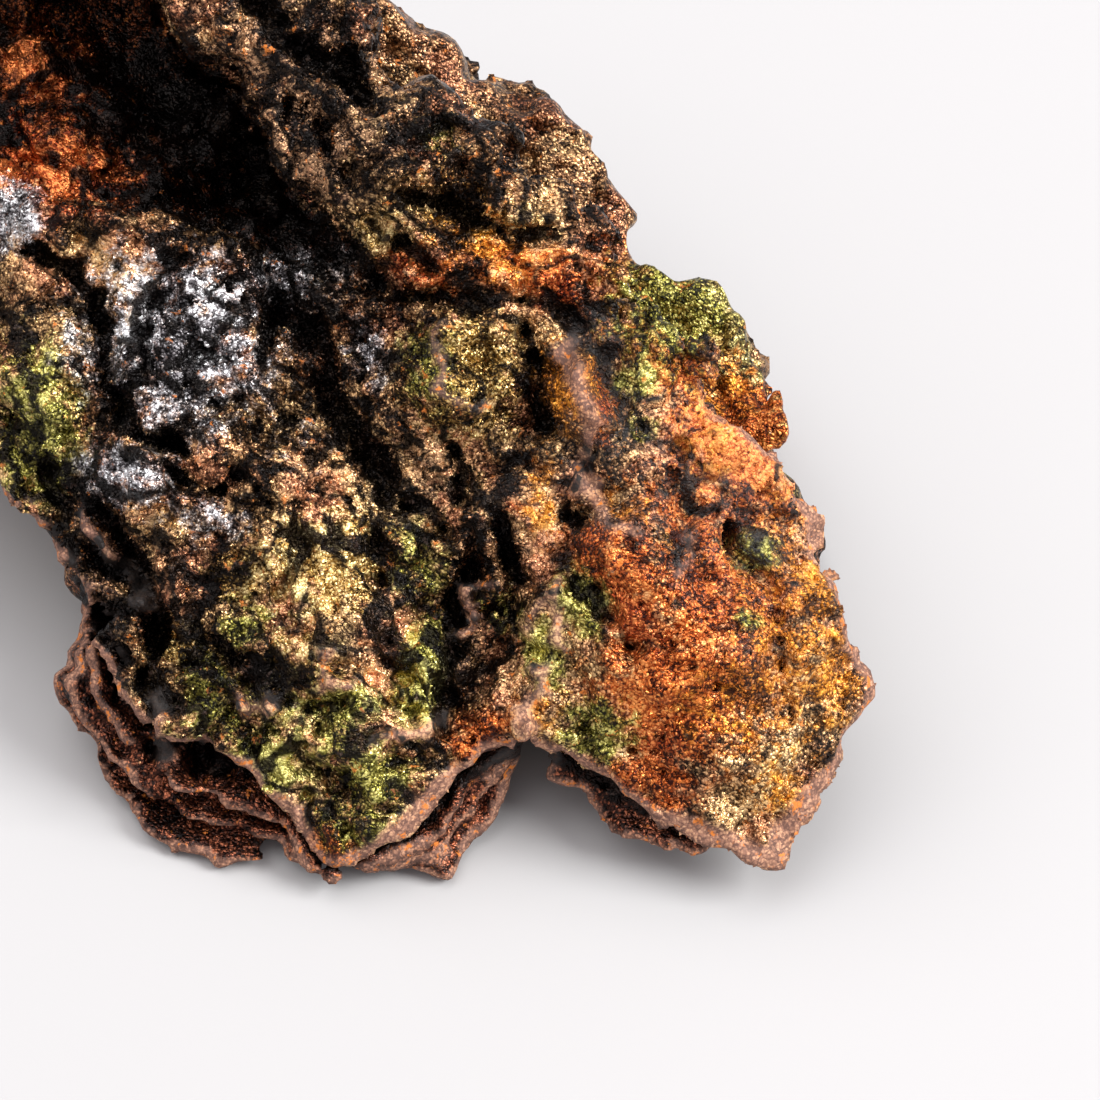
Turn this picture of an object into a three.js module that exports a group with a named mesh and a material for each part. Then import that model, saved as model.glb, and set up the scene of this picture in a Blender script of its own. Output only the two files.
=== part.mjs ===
// Rough goethite: one hand-sized lump of iron ore, in millimetres, +Z up, standing on its broken underside.
//
// A younger crust leans back over older ones at crustSlope. It breaks off in a thin rim all along the
// front, where older crusts stick out below it as ledges. It climbs to a crest, drops behind that to a
// lower back shoulder, and opens on the left in a deep hollow that runs in under the crest.
// The crust has its own frame: a to the right, b up its slope and c straight out of it.

import * as THREE from "three";

// Driving dimensions
const crustSlope = THREE.MathUtils.degToRad(40); // between the crust and the ground
const crustCentre = new THREE.Vector3(22.95, -19.83, 18.3); // where a, b and c are all 0
const rimThickness = 4; // of the crust at its broken edge
const rimTaper = 0.45; // how fast the crust thickens inwards
const crustThickness = 12;
const shoulderThickness = 12;
const coreInset = 1.6; // the massive core stays this far inside every rim
const coreDepth = 1; // and this far below the crust's surface
const coreFlare = 0.8; // how much the core widens for each millimetre of height
const coreFlareLimit = 8;
const ledgeReach = 4; // the older crusts stand out this far from the core
const ledgeHeight = 9; // how much of the rim's height above the ground the older crusts step down through
const ledges = [
  { out: 0.45, down: 0.4 }, // shares of the way out to the lowest rim, and down through that height
  { out: 1, down: 0.75 },
];
const hollowLip = 1.3; // how far the hollow's mouth is rounded over
const bedding = { layer: 5, along: 13, depth: 2.8 }; // ledges where the layers break off at the sides
const footHeight = 0.6; // lower than this the underside is worn flat
const underRelief = { wave: 17, height: 2.6 }; // dips between the feet
const roughness = [
  { wave: 9.5, height: 1.3 },
  { wave: 5.2, height: 0.8 },
];
const levelSoftness = 7; // keeps the surface smooth close to a level
const facetSize = 2.6;
const volumeLow = [-76, -34, -66]; // the searched block in a, b and c
const volumeHigh = [30, 64, 18];

// Outlines in a and b, each closed on its first point

const crustRim = [
  [-56, 17.6], [-51.2, 12], [-47.2, 6.4], [-44, 3.4], [-40.5, 0.8], [-39.8, -2.5], [-36.6, -6.2],
  [-34.8, -11], [-32.2, -14.6], [-29.3, -17], [-24.2, -19], [-21, -21.6], [-18.6, -26.7],
  [-16.8, -26.4], [-13.9, -25], [-10.4, -23.6], [-7.2, -20], [-4, -18], [-1.8, -17], [1.4, -18.7],
  [4.7, -20.6], [10.7, -23], [14.3, -25.2], [18.6, -25], [19, -23.3], [21, -21.1], [24.2, -17.7],
  [25.4, -13.6], [26.2, -10.6], [24.8, -8.4], [23, -3.2], [22.5, 1.6], [21.6, 4], [18.8, 6.8],
  [15.2, 8.8], [12.8, 12], [8, 18.4], [6, 20.8], [4, 24], [3.2, 26.8], [0.4, 27.6], [-2.4, 28.8],
  [-5.6, 32], [-8.8, 34.8], [-12, 36.8], [-13.2, 39.2], [-13.8, 42.4], [-14.4, 45.6], [-16.8, 49.6],
  [-22.4, 53.2], [-29.6, 56], [-39.2, 58.4], [-48.8, 59.2], [-58.4, 56.8], [-66.4, 53.6],
  [-71.2, 47.2], [-72, 39.2], [-68, 30.4], [-62.4, 23.2],
];

const shoulderRim = [
  [18.8, 4], [18.6, 8.8], [18.3, 12], [17.2, 14.4], [14.6, 18], [12.4, 20], [9.2, 21.2], [7.2, 24],
  [6.2, 25.6], [6.7, 27], [4, 29.2], [3.8, 31.2], [2, 34.8], [-0.8, 36], [-3.2, 36.6], [-7.2, 38],
  [-9.2, 42], [-11.6, 44], [-14.4, 48], [-20, 52], [-28, 54.4], [-36, 48.8], [-28, 36], [-12, 24],
  [0.8, 8], [12, -0.8],
];

const lowLedgeRim = [
  [-36.4, -0.8], [-38.5, -6.9], [-39.7, -11.7], [-38.6, -16.1], [-34.8, -21.6], [-33, -23],
  [-26.9, -26.6], [-21.2, -26.2], [-19.4, -28.6], [-17.7, -28.8], [-14.1, -27.4], [-11.8, -26],
  [-9.1, -27.8], [-7.3, -28], [-6.5, -26.2], [-5.2, -25.1], [-5.6, -24], [-2.1, -21.4],
  [-2.6, -19.6], [0.8, -12], [-12, -0.8], [-28, 4],
];

const hollowMouth = [
  [-31.6, 44], [-30, 40.8], [-27.6, 39.6], [-25.2, 38], [-24.4, 35.2], [-22.8, 32], [-20.8, 29.2],
  [-18.4, 27.2], [-16, 24.8], [-14, 22.8], [-12.8, 20.8], [-16.8, 21.2], [-20.8, 23],
  [-24.8, 24.8], [-29.6, 26.8], [-34.4, 27.6], [-39.2, 28.4], [-44, 30.4], [-49.6, 36],
  [-52.8, 42.4], [-49.6, 49.6], [-42.4, 52.8], [-35.2, 49.6],
];

// Where the core meets the ground, in X and Y from crustCentre
const footprint = [
  [-39, 1], [-34, -10], [-27, -19], [-17.6, -22], [-7, -21], [-2, -14], [4, -9], [14, -8], [20, 0],
  [20, 14], [16, 28], [4, 39], [-15, 45], [-38, 47], [-58, 42], [-68, 34], [-66, 24], [-52, 20],
  [-44, 21], [-40, 12],
];

// Levels: the surface runs smoothly through these [a, b, c]

const crustLevels = [
  [-38.4, -0.8, -4], [-32.8, -7.2, -0.5], [-28.8, -12, 1.5], [-24, -17.6, 2.5], [-18.4, -24.8, 2.6],
  [-10.4, -21.6, 4], [-2.4, -16, 4.5], [-28, -0.8, 2], [-20, -8, 4], [-12, -12, 4.5], [-7.2, -5.6, 3],
  [-20, 4, 4], [-28, 8, 3], [-32, 16, 1], [-24, 20, 1], [-16, 17.6, 3], [-40.8, 14.4, -3],
  [-44, 8, -6], [-12, 8, 4], [-5.6, 13.6, 6], [0.8, 17.6, 7], [4, 10.4, 9], [0.8, 4, 6], [8, 0, 9],
  [12, -8, 10], [16, -16, 7], [5.6, -18.4, 4], [12, -22.4, 5], [18.4, -24, 3.5], [24, -16.8, 3],
  [25.6, -10.4, 2], [20, -5.6, 7], [21.6, 2.4, 2], [15.2, 4, 7], [12, 9.6, 6], [8, 16, 7],
  [4, 23.2, 7], [0, 25.6, 8], [-5.6, 29.6, 8], [-10.4, 33.6, 9], [-13.6, 39.2, 8], [-20, 40.8, 9],
  [-24, 44, 8], [-24.8, 36, 7], [-20.8, 28.8, 6], [-16, 24, 5], [-32, 50.4, 4], [-40, 53.6, 0],
  [-52, 54.4, -5], [-61.6, 51.2, -8], [-48.8, 17.6, -7], [-53.6, 24, -8], [-60, 32, -9],
  [-66.4, 39.2, -12], [-66.4, 47.2, -11],
];

const hollowLevels = [
  [-24, 32, -16], [-32, 37.6, -18], [-20, 25.6, -7], [-28, 29.6, -11], [-36, 32, -9],
  [-41.6, 39.2, -11], [-44, 44, -14], [-36, 45.6, -19], [-48.8, 39.2, -9], [-39.2, 29.6, -6],
  [-32, 27.6, -2.5], [-24, 24.4, 0], [-16.8, 21.6, 3], [-47.2, 48.8, -14],
];

const shoulderLevels = [
  [-8, 39.2, -22], [-12, 45.6, -20], [0.8, 32.8, -20], [4, 28, -20], [10.4, 18.4, -16],
  [15.2, 13.6, -12], [18, 8.8, -8], [-20, 50.4, -20],
];

// Swellings raise the crust by a smooth dome: centre, half widths, turn in degrees, height
const swellings = [
  { at: [-40.8, 14.4], reach: [5.5, 9.5], turn: 10, rise: 4 }, // bulb at the left edge
  { at: [-28, 14.4], reach: [9, 9], turn: 0, rise: 2.5 }, // silvery shoulder
  { at: [-33.6, 6.4], reach: [5.5, 4], turn: 20, rise: 2.5 },
  { at: [-24.8, 7.2], reach: [3.6, 4], turn: 0, rise: 1.8 },
  { at: [-15.2, -16.4], reach: [5.5, 3.2], turn: -20, rise: 1.5 }, // fold above the front corner
  { at: [-6.8, 14.8], reach: [6.5, 5.5], turn: 0, rise: 2 }, // cup
  { at: [-5.8, 15.4], reach: [2.6, 2.2], turn: 0, rise: -2.4 }, // the cup's bowl
  { at: [3.6, 12], reach: [2.8, 4.8], turn: 10, rise: 2.2 }, // standing flake
  { at: [-0.4, 6.4], reach: [3.6, 3.6], turn: 0, rise: 1.5 },
  { at: [5.6, -0.8], reach: [7.2, 2.8], turn: -35, rise: 2 }, // tongue that flowed over the lobe
  { at: [-12, 29.6], reach: [4, 3.2], turn: 0, rise: 2 }, // knobs along the crest
  { at: [-8.8, 24.8], reach: [3.6, 3.2], turn: 0, rise: 1.5 },
  { at: [-17.6, 36], reach: [3.6, 2.8], turn: 0, rise: 2 },
];

// Grooves cut into the crust along a line of [a, b] points
const grooves = [
  { halfWidth: 1.6, depth: 4, along: [[-44, 30.4], [-40.8, 25.2], [-36.4, 22.4], [-35.4, 17.6], [-36, 12]] },
  { halfWidth: 1.5, depth: 3, along: [[-20, 20.8], [-16.4, 16.8], [-17.2, 12], [-14.8, 7.6]] },
  { halfWidth: 1.5, depth: 2.5, along: [[-5.6, -1.6], [-7.6, -5.6], [-8.2, -10.4], [-8.8, -14]] },
  { halfWidth: 1.3, depth: 2.4, along: [[-12, 20.8], [-6.4, 20], [-0.4, 20.6], [2.8, 17.6]] },
  { halfWidth: 1.4, depth: 2.6, along: [[2.8, 17.2], [5, 14], [6, 9.6], [4.8, 7.2]] },
  { halfWidth: 1.2, depth: 2, along: [[0, 0.4], [1.6, -2.4], [4.4, -5.2], [7.2, -7.6]] },
  { halfWidth: 1.5, depth: 3, along: [[-35.2, 2.4], [-34, -1.2], [-32, -4.8], [-32, -8.8]] },
];

// Rounded voids that eat in under the crest from the hollow: centre and half widths in a, b and c
const undercuts = [
  { at: [-22, 30, -9], reach: [5.5, 5, 5.5] },
  { at: [-28, 37.5, -10], reach: [6.5, 5.5, 6.5] },
  { at: [-36, 44, -11], reach: [6.5, 5, 6.5] },
];

const clamp01 = (t) => Math.min(1, Math.max(0, t));
const smoothStep = (t) => clamp01(t) ** 2 * (3 - 2 * clamp01(t));

// Distance from (a, b) to the segment p-q
function distanceToSegment(a, b, p, q) {
  const run = [q[0] - p[0], q[1] - p[1]];
  const share = clamp01(((a - p[0]) * run[0] + (b - p[1]) * run[1]) / (run[0] ** 2 + run[1] ** 2));
  return Math.hypot(a - p[0] - share * run[0], b - p[1] - share * run[1]);
}

// Distance to a closed outline, negative inside it
function distanceToOutline(outline, a, b) {
  let nearest = Infinity;
  let inside = false;
  outline.forEach((p, i) => {
    const q = outline[(i + 1) % outline.length];
    nearest = Math.min(nearest, distanceToSegment(a, b, p, q));
    const passesBy = p[1] > b !== q[1] > b;
    if (passesBy && a < p[0] + ((q[0] - p[0]) * (b - p[1])) / (q[1] - p[1])) inside = !inside;
  });
  return inside ? -nearest : nearest;
}

function distanceToLine(line, a, b) {
  return Math.min(...line.slice(1).map((q, i) => distanceToSegment(a, b, line[i], q)));
}

// Smooth surface through the levels: nearer ones weigh more
function levelAt(levels, a, b) {
  let total = 0;
  let weights = 0;
  for (const [la, lb, lc] of levels) {
    const weight = 1 / ((a - la) ** 2 + (b - lb) ** 2 + levelSoftness) ** 2;
    total += weight * lc;
    weights += weight;
  }
  return total / weights;
}

function swellingAt({ at, reach, turn, rise }, a, b) {
  const angle = THREE.MathUtils.degToRad(turn);
  const along = ((a - at[0]) * Math.cos(angle) + (b - at[1]) * Math.sin(angle)) / reach[0];
  const across = ((b - at[1]) * Math.cos(angle) - (a - at[0]) * Math.sin(angle)) / reach[1];
  return rise * Math.max(0, 1 - along ** 2 - across ** 2) ** 1.5;
}

function grooveAt({ along, halfWidth, depth }, a, b) {
  return depth * smoothStep(1.4 - distanceToLine(along, a, b) / halfWidth);
}

// Smooth noise from -1 to 1 over a lattice of fixed random values
function latticeValue(i, j, k) {
  const hashed = Math.sin(i * 127.1 + j * 311.7 + k * 74.7) * 43758.5453;
  return 2 * (hashed - Math.floor(hashed)) - 1;
}

function noise(x, y, z) {
  const cell = [Math.floor(x), Math.floor(y), Math.floor(z)];
  const blend = [smoothStep(x - cell[0]), smoothStep(y - cell[1]), smoothStep(z - cell[2])];
  let sum = 0;
  for (let corner = 0; corner < 8; corner++) {
    const step = [corner & 1, (corner >> 1) & 1, corner >> 2];
    const weight = step.reduce((w, s, axis) => w * (s ? blend[axis] : 1 - blend[axis]), 1);
    sum += weight * latticeValue(cell[0] + step[0], cell[1] + step[1], cell[2] + step[2]);
  }
  return sum;
}

function crustTop(a, b) {
  let level = levelAt(crustLevels, a, b);
  for (const swelling of swellings) level += swellingAt(swelling, a, b);
  for (const groove of grooves) level -= grooveAt(groove, a, b);
  const inHollow = smoothStep(0.5 - distanceToOutline(hollowMouth, a, b) / (2 * hollowLip));
  return THREE.MathUtils.lerp(level, levelAt(hollowLevels, a, b), inHollow);
}

const axisB = new THREE.Vector3(0, Math.cos(crustSlope), Math.sin(crustSlope));
const axisC = new THREE.Vector3(0, -Math.sin(crustSlope), Math.cos(crustSlope));

function toWorld(a, b, c) {
  return new THREE.Vector3(a, 0, 0).addScaledVector(axisB, b).addScaledVector(axisC, c).add(crustCentre);
}

// A plate lies between its top and an underside, inside its outline
const plate = (edge, aboveTop, thickness) => Math.max(edge, aboveTop, -aboveTop - thickness);

// Below 0 inside the stone, about the distance in millimetres to its surface
function stone(a, b, c) {
  const world = toWorld(a, b, c);
  const aboveCrust = c - crustTop(a, b);
  const aboveShoulder = c - levelAt(shoulderLevels, a, b);

  // The broken sides step in and out from layer to layer, more so further below the crust
  const ledge = bedding.depth * noise(a / bedding.along, b / bedding.along, c / bedding.layer);
  const crustEdge = distanceToOutline(crustRim, a, b) - ledge * clamp01(-aboveCrust / bedding.layer);
  const shoulderEdge = distanceToOutline(shoulderRim, a, b) - ledge;
  const lowEdge = distanceToOutline(lowLedgeRim, a, b);

  const crust = plate(crustEdge, aboveCrust, Math.min(rimThickness - rimTaper * crustEdge, crustThickness));
  const shoulder = plate(shoulderEdge, aboveShoulder, shoulderThickness);

  // The older crusts spread from the younger one's rim towards the lowest rim, each one further down
  const rimHeight = Math.min(ledgeHeight, world.z / axisC.z - aboveCrust);
  const steps = ledges.map(({ out, down }) => {
    return Math.max(THREE.MathUtils.lerp(crustEdge, lowEdge, out), aboveCrust + down * rimHeight);
  });

  const flare = Math.min(coreFlare * Math.max(world.z, 0), coreFlareLimit);
  const [groundX, groundY] = [world.x - crustCentre.x, world.y - crustCentre.y];
  const foot = distanceToOutline(footprint, groundX, groundY) - flare - ledge;
  let coreTop = aboveCrust + rimHeight;
  if (shoulderEdge < -coreInset) coreTop = aboveShoulder;
  if (crustEdge < -coreInset) coreTop = aboveCrust;
  const core = Math.max(foot, coreTop + coreDepth, Math.min(crustEdge, shoulderEdge, lowEdge) + coreInset);

  let surface = Math.min(crust, shoulder, core, Math.max(Math.min(...steps), foot - ledgeReach));
  for (const { at, reach } of undercuts) {
    const offset = Math.hypot((a - at[0]) / reach[0], (b - at[1]) / reach[1], (c - at[2]) / reach[2]);
    surface = Math.max(surface, (1 - offset) * Math.min(...reach));
  }
  for (const { wave, height } of roughness) {
    surface += height * noise(a / wave, b / wave, c / wave);
  }
  const dips = noise(groundX / underRelief.wave, groundY / underRelief.wave, 0);
  const ground = Math.max(0, dips) * underRelief.height;
  return Math.max(surface, ground - world.z);
}

// Surface nets: one vertex in each cell that the surface crosses, one quad for each crossed grid edge

const counts = volumeHigh.map((high, axis) => Math.ceil((high - volumeLow[axis]) / facetSize) + 1);
const strides = [1, counts[0], counts[0] * counts[1]];
const cornerSteps = Array.from({ length: 8 }, (_, n) => [n & 1, (n >> 1) & 1, n >> 2]);
const gridPoint = (i, j, k) => [i, j, k].map((n, axis) => volumeLow[axis] + n * facetSize);
const indexOf = (i, j, k) => i * strides[0] + j * strides[1] + k * strides[2];

function forEachPoint(visit) {
  for (let n = 0; n < counts[0] * counts[1] * counts[2]; n++) {
    visit(n % strides[1], Math.floor(n / strides[1]) % counts[1], Math.floor(n / strides[2]));
  }
}

function forEachCell(visit) {
  forEachPoint((i, j, k) => {
    if (i < counts[0] - 1 && j < counts[1] - 1 && k < counts[2] - 1) visit(i, j, k);
  });
}

function sampleStone() {
  const values = [];
  forEachPoint((i, j, k) => {
    const onBorder = [i, j, k].some((n, axis) => n === 0 || n === counts[axis] - 1);
    values.push(onBorder ? facetSize : stone(...gridPoint(i, j, k)));
  });
  return values;
}

// Grid points joined to the first one through points of the same kind
function connectedTo(values, first, wanted) {
  const reached = new Uint8Array(values.length);
  const waiting = [first];
  reached[first] = 1;
  while (waiting.length) {
    const here = waiting.pop();
    const neighbours = strides.flatMap((stride) => [here - stride, here + stride]);
    for (const next of neighbours) {
      if (next < 0 || next >= values.length || reached[next] || !wanted(values[next])) continue;
      reached[next] = 1;
      waiting.push(next);
    }
  }
  return reached;
}

// The corners of each face of a cell, in order round the face
const cellFaces = [[0, 1, 3, 2], [4, 5, 7, 6], [0, 1, 5, 4], [2, 3, 7, 6], [0, 2, 6, 4], [1, 3, 7, 5]];

// True where stone meets stone, or air meets air, only along an edge or at a corner of the cell
function isPinched(inside) {
  const filled = inside.filter(Boolean).length;
  const acrossFace = cellFaces.some(([p, q, r, s]) => {
    return inside[p] === inside[r] && inside[q] === inside[s] && inside[p] !== inside[q];
  });
  const acrossCell = [0, 1, 2, 3].some((n) => {
    return inside[n] === inside[7 - n] && filled === (inside[n] ? 2 : 6);
  });
  return acrossFace || acrossCell;
}

// Fills pinched cells until none is left, then drops loose crumbs and fills sealed pores
function makeOneBody(values) {
  const justInside = -0.05 * facetSize;
  for (let changed = true; changed; ) {
    changed = false;
    forEachCell((i, j, k) => {
      const corners = cornerSteps.map((s) => indexOf(i + s[0], j + s[1], k + s[2]));
      if (!isPinched(corners.map((n) => values[n] < 0))) return;
      for (const n of corners) values[n] = Math.min(values[n], justInside);
      changed = true;
    });
  }
  const middle = indexOf(...[-10, 0, -4].map((n, axis) => Math.round((n - volumeLow[axis]) / facetSize)));
  const body = connectedTo(values, middle, (v) => v < 0);
  values.forEach((v, n) => (values[n] = v < 0 && !body[n] ? -justInside : v));
  const air = connectedTo(values, 0, (v) => v >= 0);
  values.forEach((v, n) => (values[n] = v >= 0 && !air[n] ? justInside : v));
}

// Slides a point onto the surface along its steepest slope, without leaving its own cell
function settle(start) {
  const reach = 0.3 * facetSize;
  const probe = 0.3;
  const point = [...start];
  for (let step = 0; step < 4; step++) {
    const here = stone(...point);
    const slope = point.map((_, axis) => {
      const ahead = [...point];
      ahead[axis] += probe;
      return (stone(...ahead) - here) / probe;
    });
    const steepness = Math.max(0.4, slope[0] ** 2 + slope[1] ** 2 + slope[2] ** 2);
    slope.forEach((s, axis) => {
      const moved = point[axis] - (0.7 * here * s) / steepness;
      point[axis] = Math.min(start[axis] + reach, Math.max(start[axis] - reach, moved));
    });
  }
  return point;
}

// Where the surface crosses the edges of a cell, on average, in cells from its low corner
function meanCrossing(corner, values) {
  const sum = [0, 0, 0];
  let crossings = 0;
  for (let n = 0; n < 8; n++) {
    for (const bit of [1, 2, 4].filter((side) => !(n & side))) {
      const [p, q] = [cornerSteps[n], cornerSteps[n | bit]];
      const from = values[corner + indexOf(...p)];
      const to = values[corner + indexOf(...q)];
      if (from < 0 === to < 0) continue;
      const share = from / (from - to);
      sum.forEach((_, axis) => (sum[axis] += p[axis] + share * (q[axis] - p[axis])));
      crossings++;
    }
  }
  return crossings ? sum.map((total) => total / crossings) : null;
}

function surfaceNet() {
  const values = sampleStone();
  makeOneBody(values);
  const vertexOf = new Map();
  const vertices = [];
  forEachCell((i, j, k) => {
    const mean = meanCrossing(indexOf(i, j, k), values);
    if (!mean) return;
    const vertex = toWorld(...settle(gridPoint(i + mean[0], j + mean[1], k + mean[2])));
    if (vertex.z < footHeight) vertex.z = 0;
    vertexOf.set(indexOf(i, j, k), vertices.length);
    vertices.push(vertex);
  });
  const triangles = [];
  forEachCell((i, j, k) => {
    const here = indexOf(i, j, k);
    for (let axis = 0; axis < 3; axis++) {
      const inside = values[here] < 0;
      if (inside === values[here + strides[axis]] < 0) continue;
      const [next, other] = [strides[(axis + 1) % 3], strides[(axis + 2) % 3]];
      const ring = [here - next - other, here - other, here, here - next].map((n) => vertexOf.get(n));
      const [p, q, r, s] = inside ? ring : ring.reverse();
      const shorterPr = vertices[p].distanceTo(vertices[r]) < vertices[q].distanceTo(vertices[s]);
      triangles.push(...(shorterPr ? [p, q, r, p, r, s] : [p, q, s, q, r, s]));
    }
  });
  const geometry = new THREE.BufferGeometry().setFromPoints(vertices);
  geometry.setIndex(triangles);
  geometry.computeVertexNormals();
  return geometry;
}

const goethite = new THREE.Mesh(
  surfaceNet(),
  new THREE.MeshStandardMaterial({ color: 0x6b4a2c, roughness: 0.55, metalness: 0.5 }),
);
goethite.name = "goethite";

const specimen = new THREE.Group();
specimen.name = "rough_goethite";
specimen.add(goethite);

export default specimen;
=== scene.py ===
import math

import bpy
import numpy as np
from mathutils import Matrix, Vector


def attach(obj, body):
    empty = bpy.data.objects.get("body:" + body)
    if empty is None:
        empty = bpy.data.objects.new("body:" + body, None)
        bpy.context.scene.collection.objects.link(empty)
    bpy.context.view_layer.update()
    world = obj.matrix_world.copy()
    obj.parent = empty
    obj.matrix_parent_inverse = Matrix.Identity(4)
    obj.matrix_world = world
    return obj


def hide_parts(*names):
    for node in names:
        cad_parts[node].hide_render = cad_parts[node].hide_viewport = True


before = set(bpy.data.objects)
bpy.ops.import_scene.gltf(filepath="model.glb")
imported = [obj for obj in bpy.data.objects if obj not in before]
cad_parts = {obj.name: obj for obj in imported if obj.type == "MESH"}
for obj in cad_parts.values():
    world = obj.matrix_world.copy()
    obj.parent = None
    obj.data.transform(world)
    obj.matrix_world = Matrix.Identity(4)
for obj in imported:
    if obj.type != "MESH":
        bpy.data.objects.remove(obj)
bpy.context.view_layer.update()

# Shape sizes are in millimetres, and each mesh turns to metres at the end

crust = {
    "slope": 40,  # degrees between the crust and the ground
    "centre": (22.95, -19.83, 18.3),  # where a, b and c are all 0
    "low": (-76, -34, -66),  # the block in a, b and c that holds the stone
    "high": (30, 64, 18),
}

# a runs right, b up the crust's slope and c straight out of it

slope = math.radians(crust["slope"])
axisB = np.array([0, math.cos(slope), math.sin(slope)])
axisC = np.array([0, -math.sin(slope), math.cos(slope)])


def toWorld(a, b, c):
    centre = crust["centre"]
    return (a + centre[0], b * axisB[1] + c * axisC[1] + centre[1], b * axisB[2] + c * axisC[2] + centre[2])


def toCrust(x, y, z):
    centre = crust["centre"]
    y = y - centre[1]
    z = z - centre[2]
    return x - centre[0], y * axisB[1] + z * axisB[2], y * axisC[1] + z * axisC[2]


outlines = {
    "crust": [
        (-56, 17.6), (-51.2, 12), (-47.2, 6.4), (-44, 3.4), (-42, 1.9), (-40.5, 0.8), (-39.8, -2.5),
        (-38.5, -4.7), (-36.6, -6.2), (-34.8, -11), (-33.7, -13.3), (-32.2, -14.6), (-29.3, -17),
        (-27.4, -17.5), (-24.2, -19), (-21, -21.8), (-19.3, -26), (-16.8, -26.4), (-13.9, -25),
        (-10.4, -23.6), (-7.2, -20), (-4, -18), (-1.8, -17), (1.4, -18.7), (4.7, -20.6), (7.3, -21.8),
        (10.7, -23), (12.4, -23.7), (14.3, -25.2), (18.6, -25), (19, -23.3), (21, -21.1), (24.2, -17.7),
        (25.4, -13.6), (26.2, -10.6), (25, -8.4), (23.9, -3.2), (23.8, 1.6), (22.9, 4.4), (20, 7.2),
        (16, 9.2), (12.8, 12), (10.4, 15.2), (8, 18.4), (6, 20.8), (4, 24), (3.2, 26.8), (0.4, 27.6),
        (-2.4, 28.8), (-5.6, 32), (-8.8, 34.8), (-12, 36.8), (-13.2, 39.2), (-13.8, 42.4), (-14.4, 45.6),
        (-16.8, 49.6), (-22.4, 53.2), (-29.6, 56), (-39.2, 58.4), (-48.8, 59.2), (-58.4, 56.8),
        (-66.4, 53.6), (-71.2, 47.2), (-72, 39.2), (-68, 30.4), (-62.4, 23.2),
    ],
    "shoulder": [
        (18.8, 4), (18.6, 8.8), (18.3, 12), (17.2, 14.4), (15.6, 16), (14.6, 18), (12.4, 20), (9.2, 21.2),
        (7.2, 24), (6.2, 25.6), (6.7, 27), (4, 29.2), (3.8, 31.2), (2, 34.8), (-0.8, 36), (-3.2, 36.6),
        (-7.2, 38), (-8.4, 40), (-9.2, 42), (-11.6, 44), (-14.4, 48), (-20, 52), (-28, 54.4),
        (-36, 48.8), (-28, 36), (-12, 24), (0.8, 8), (12, -0.8),
    ],
    "lowLedge": [
        (-36.4, -0.8), (-38.5, -6.9), (-39.7, -11.7), (-38.6, -16.1), (-37, -17.9), (-34.8, -21.6),
        (-33, -23), (-26.9, -26.6), (-21.2, -26.2), (-19.4, -28.6), (-17.7, -28.8), (-16.2, -27.7),
        (-14.1, -27.4), (-11.8, -26), (-9.1, -27.8), (-7.3, -28), (-6.5, -26.2), (-5.2, -25.1),
        (-5.6, -24), (-4.2, -23.3), (-2.1, -21.4), (-2.6, -19.6), (0.8, -12), (-12, -0.8), (-28, 4),
    ],
    "lobeLedge": [
        (-2.4, -17.6), (-2.4, -19), (-0.9, -20.2), (1.4, -20.6), (1.9, -22.2), (3.8, -23), (6, -24.3),
        (7.3, -23), (8.6, -23.9), (9.4, -23.3), (10.5, -23.4), (11.8, -24.1), (13.6, -23.2), (12, -16),
        (4, -12),
    ],
    "hollow": [
        (-31.6, 44), (-30, 40.8), (-27.6, 39.6), (-25.2, 38), (-24.4, 35.2), (-22.8, 32), (-20.8, 29.2),
        (-18.4, 27.2), (-16, 24.8), (-14, 22.8), (-12.8, 20.8), (-16.8, 21.2), (-20.8, 23),
        (-24.8, 24.8), (-29.6, 26.8), (-34.4, 27.6), (-39.2, 28.4), (-44, 30.4), (-49.6, 36),
        (-52.8, 42.4), (-49.6, 49.6), (-42.4, 52.8), (-35.2, 49.6),
    ],
}

# Where the core meets the ground, in X and Y from the crust's centre
footprint = [
    (-39, 1), (-34, -10), (-27, -19), (-17.6, -22), (-7, -21), (-2, -14), (4, -9), (14, -8), (20, 0),
    (20, 14), (16, 28), (4, 39), (-15, 45), (-38, 47), (-58, 42), (-68, 34), (-66, 24), (-52, 20),
    (-44, 21), (-40, 12),
]

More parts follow.
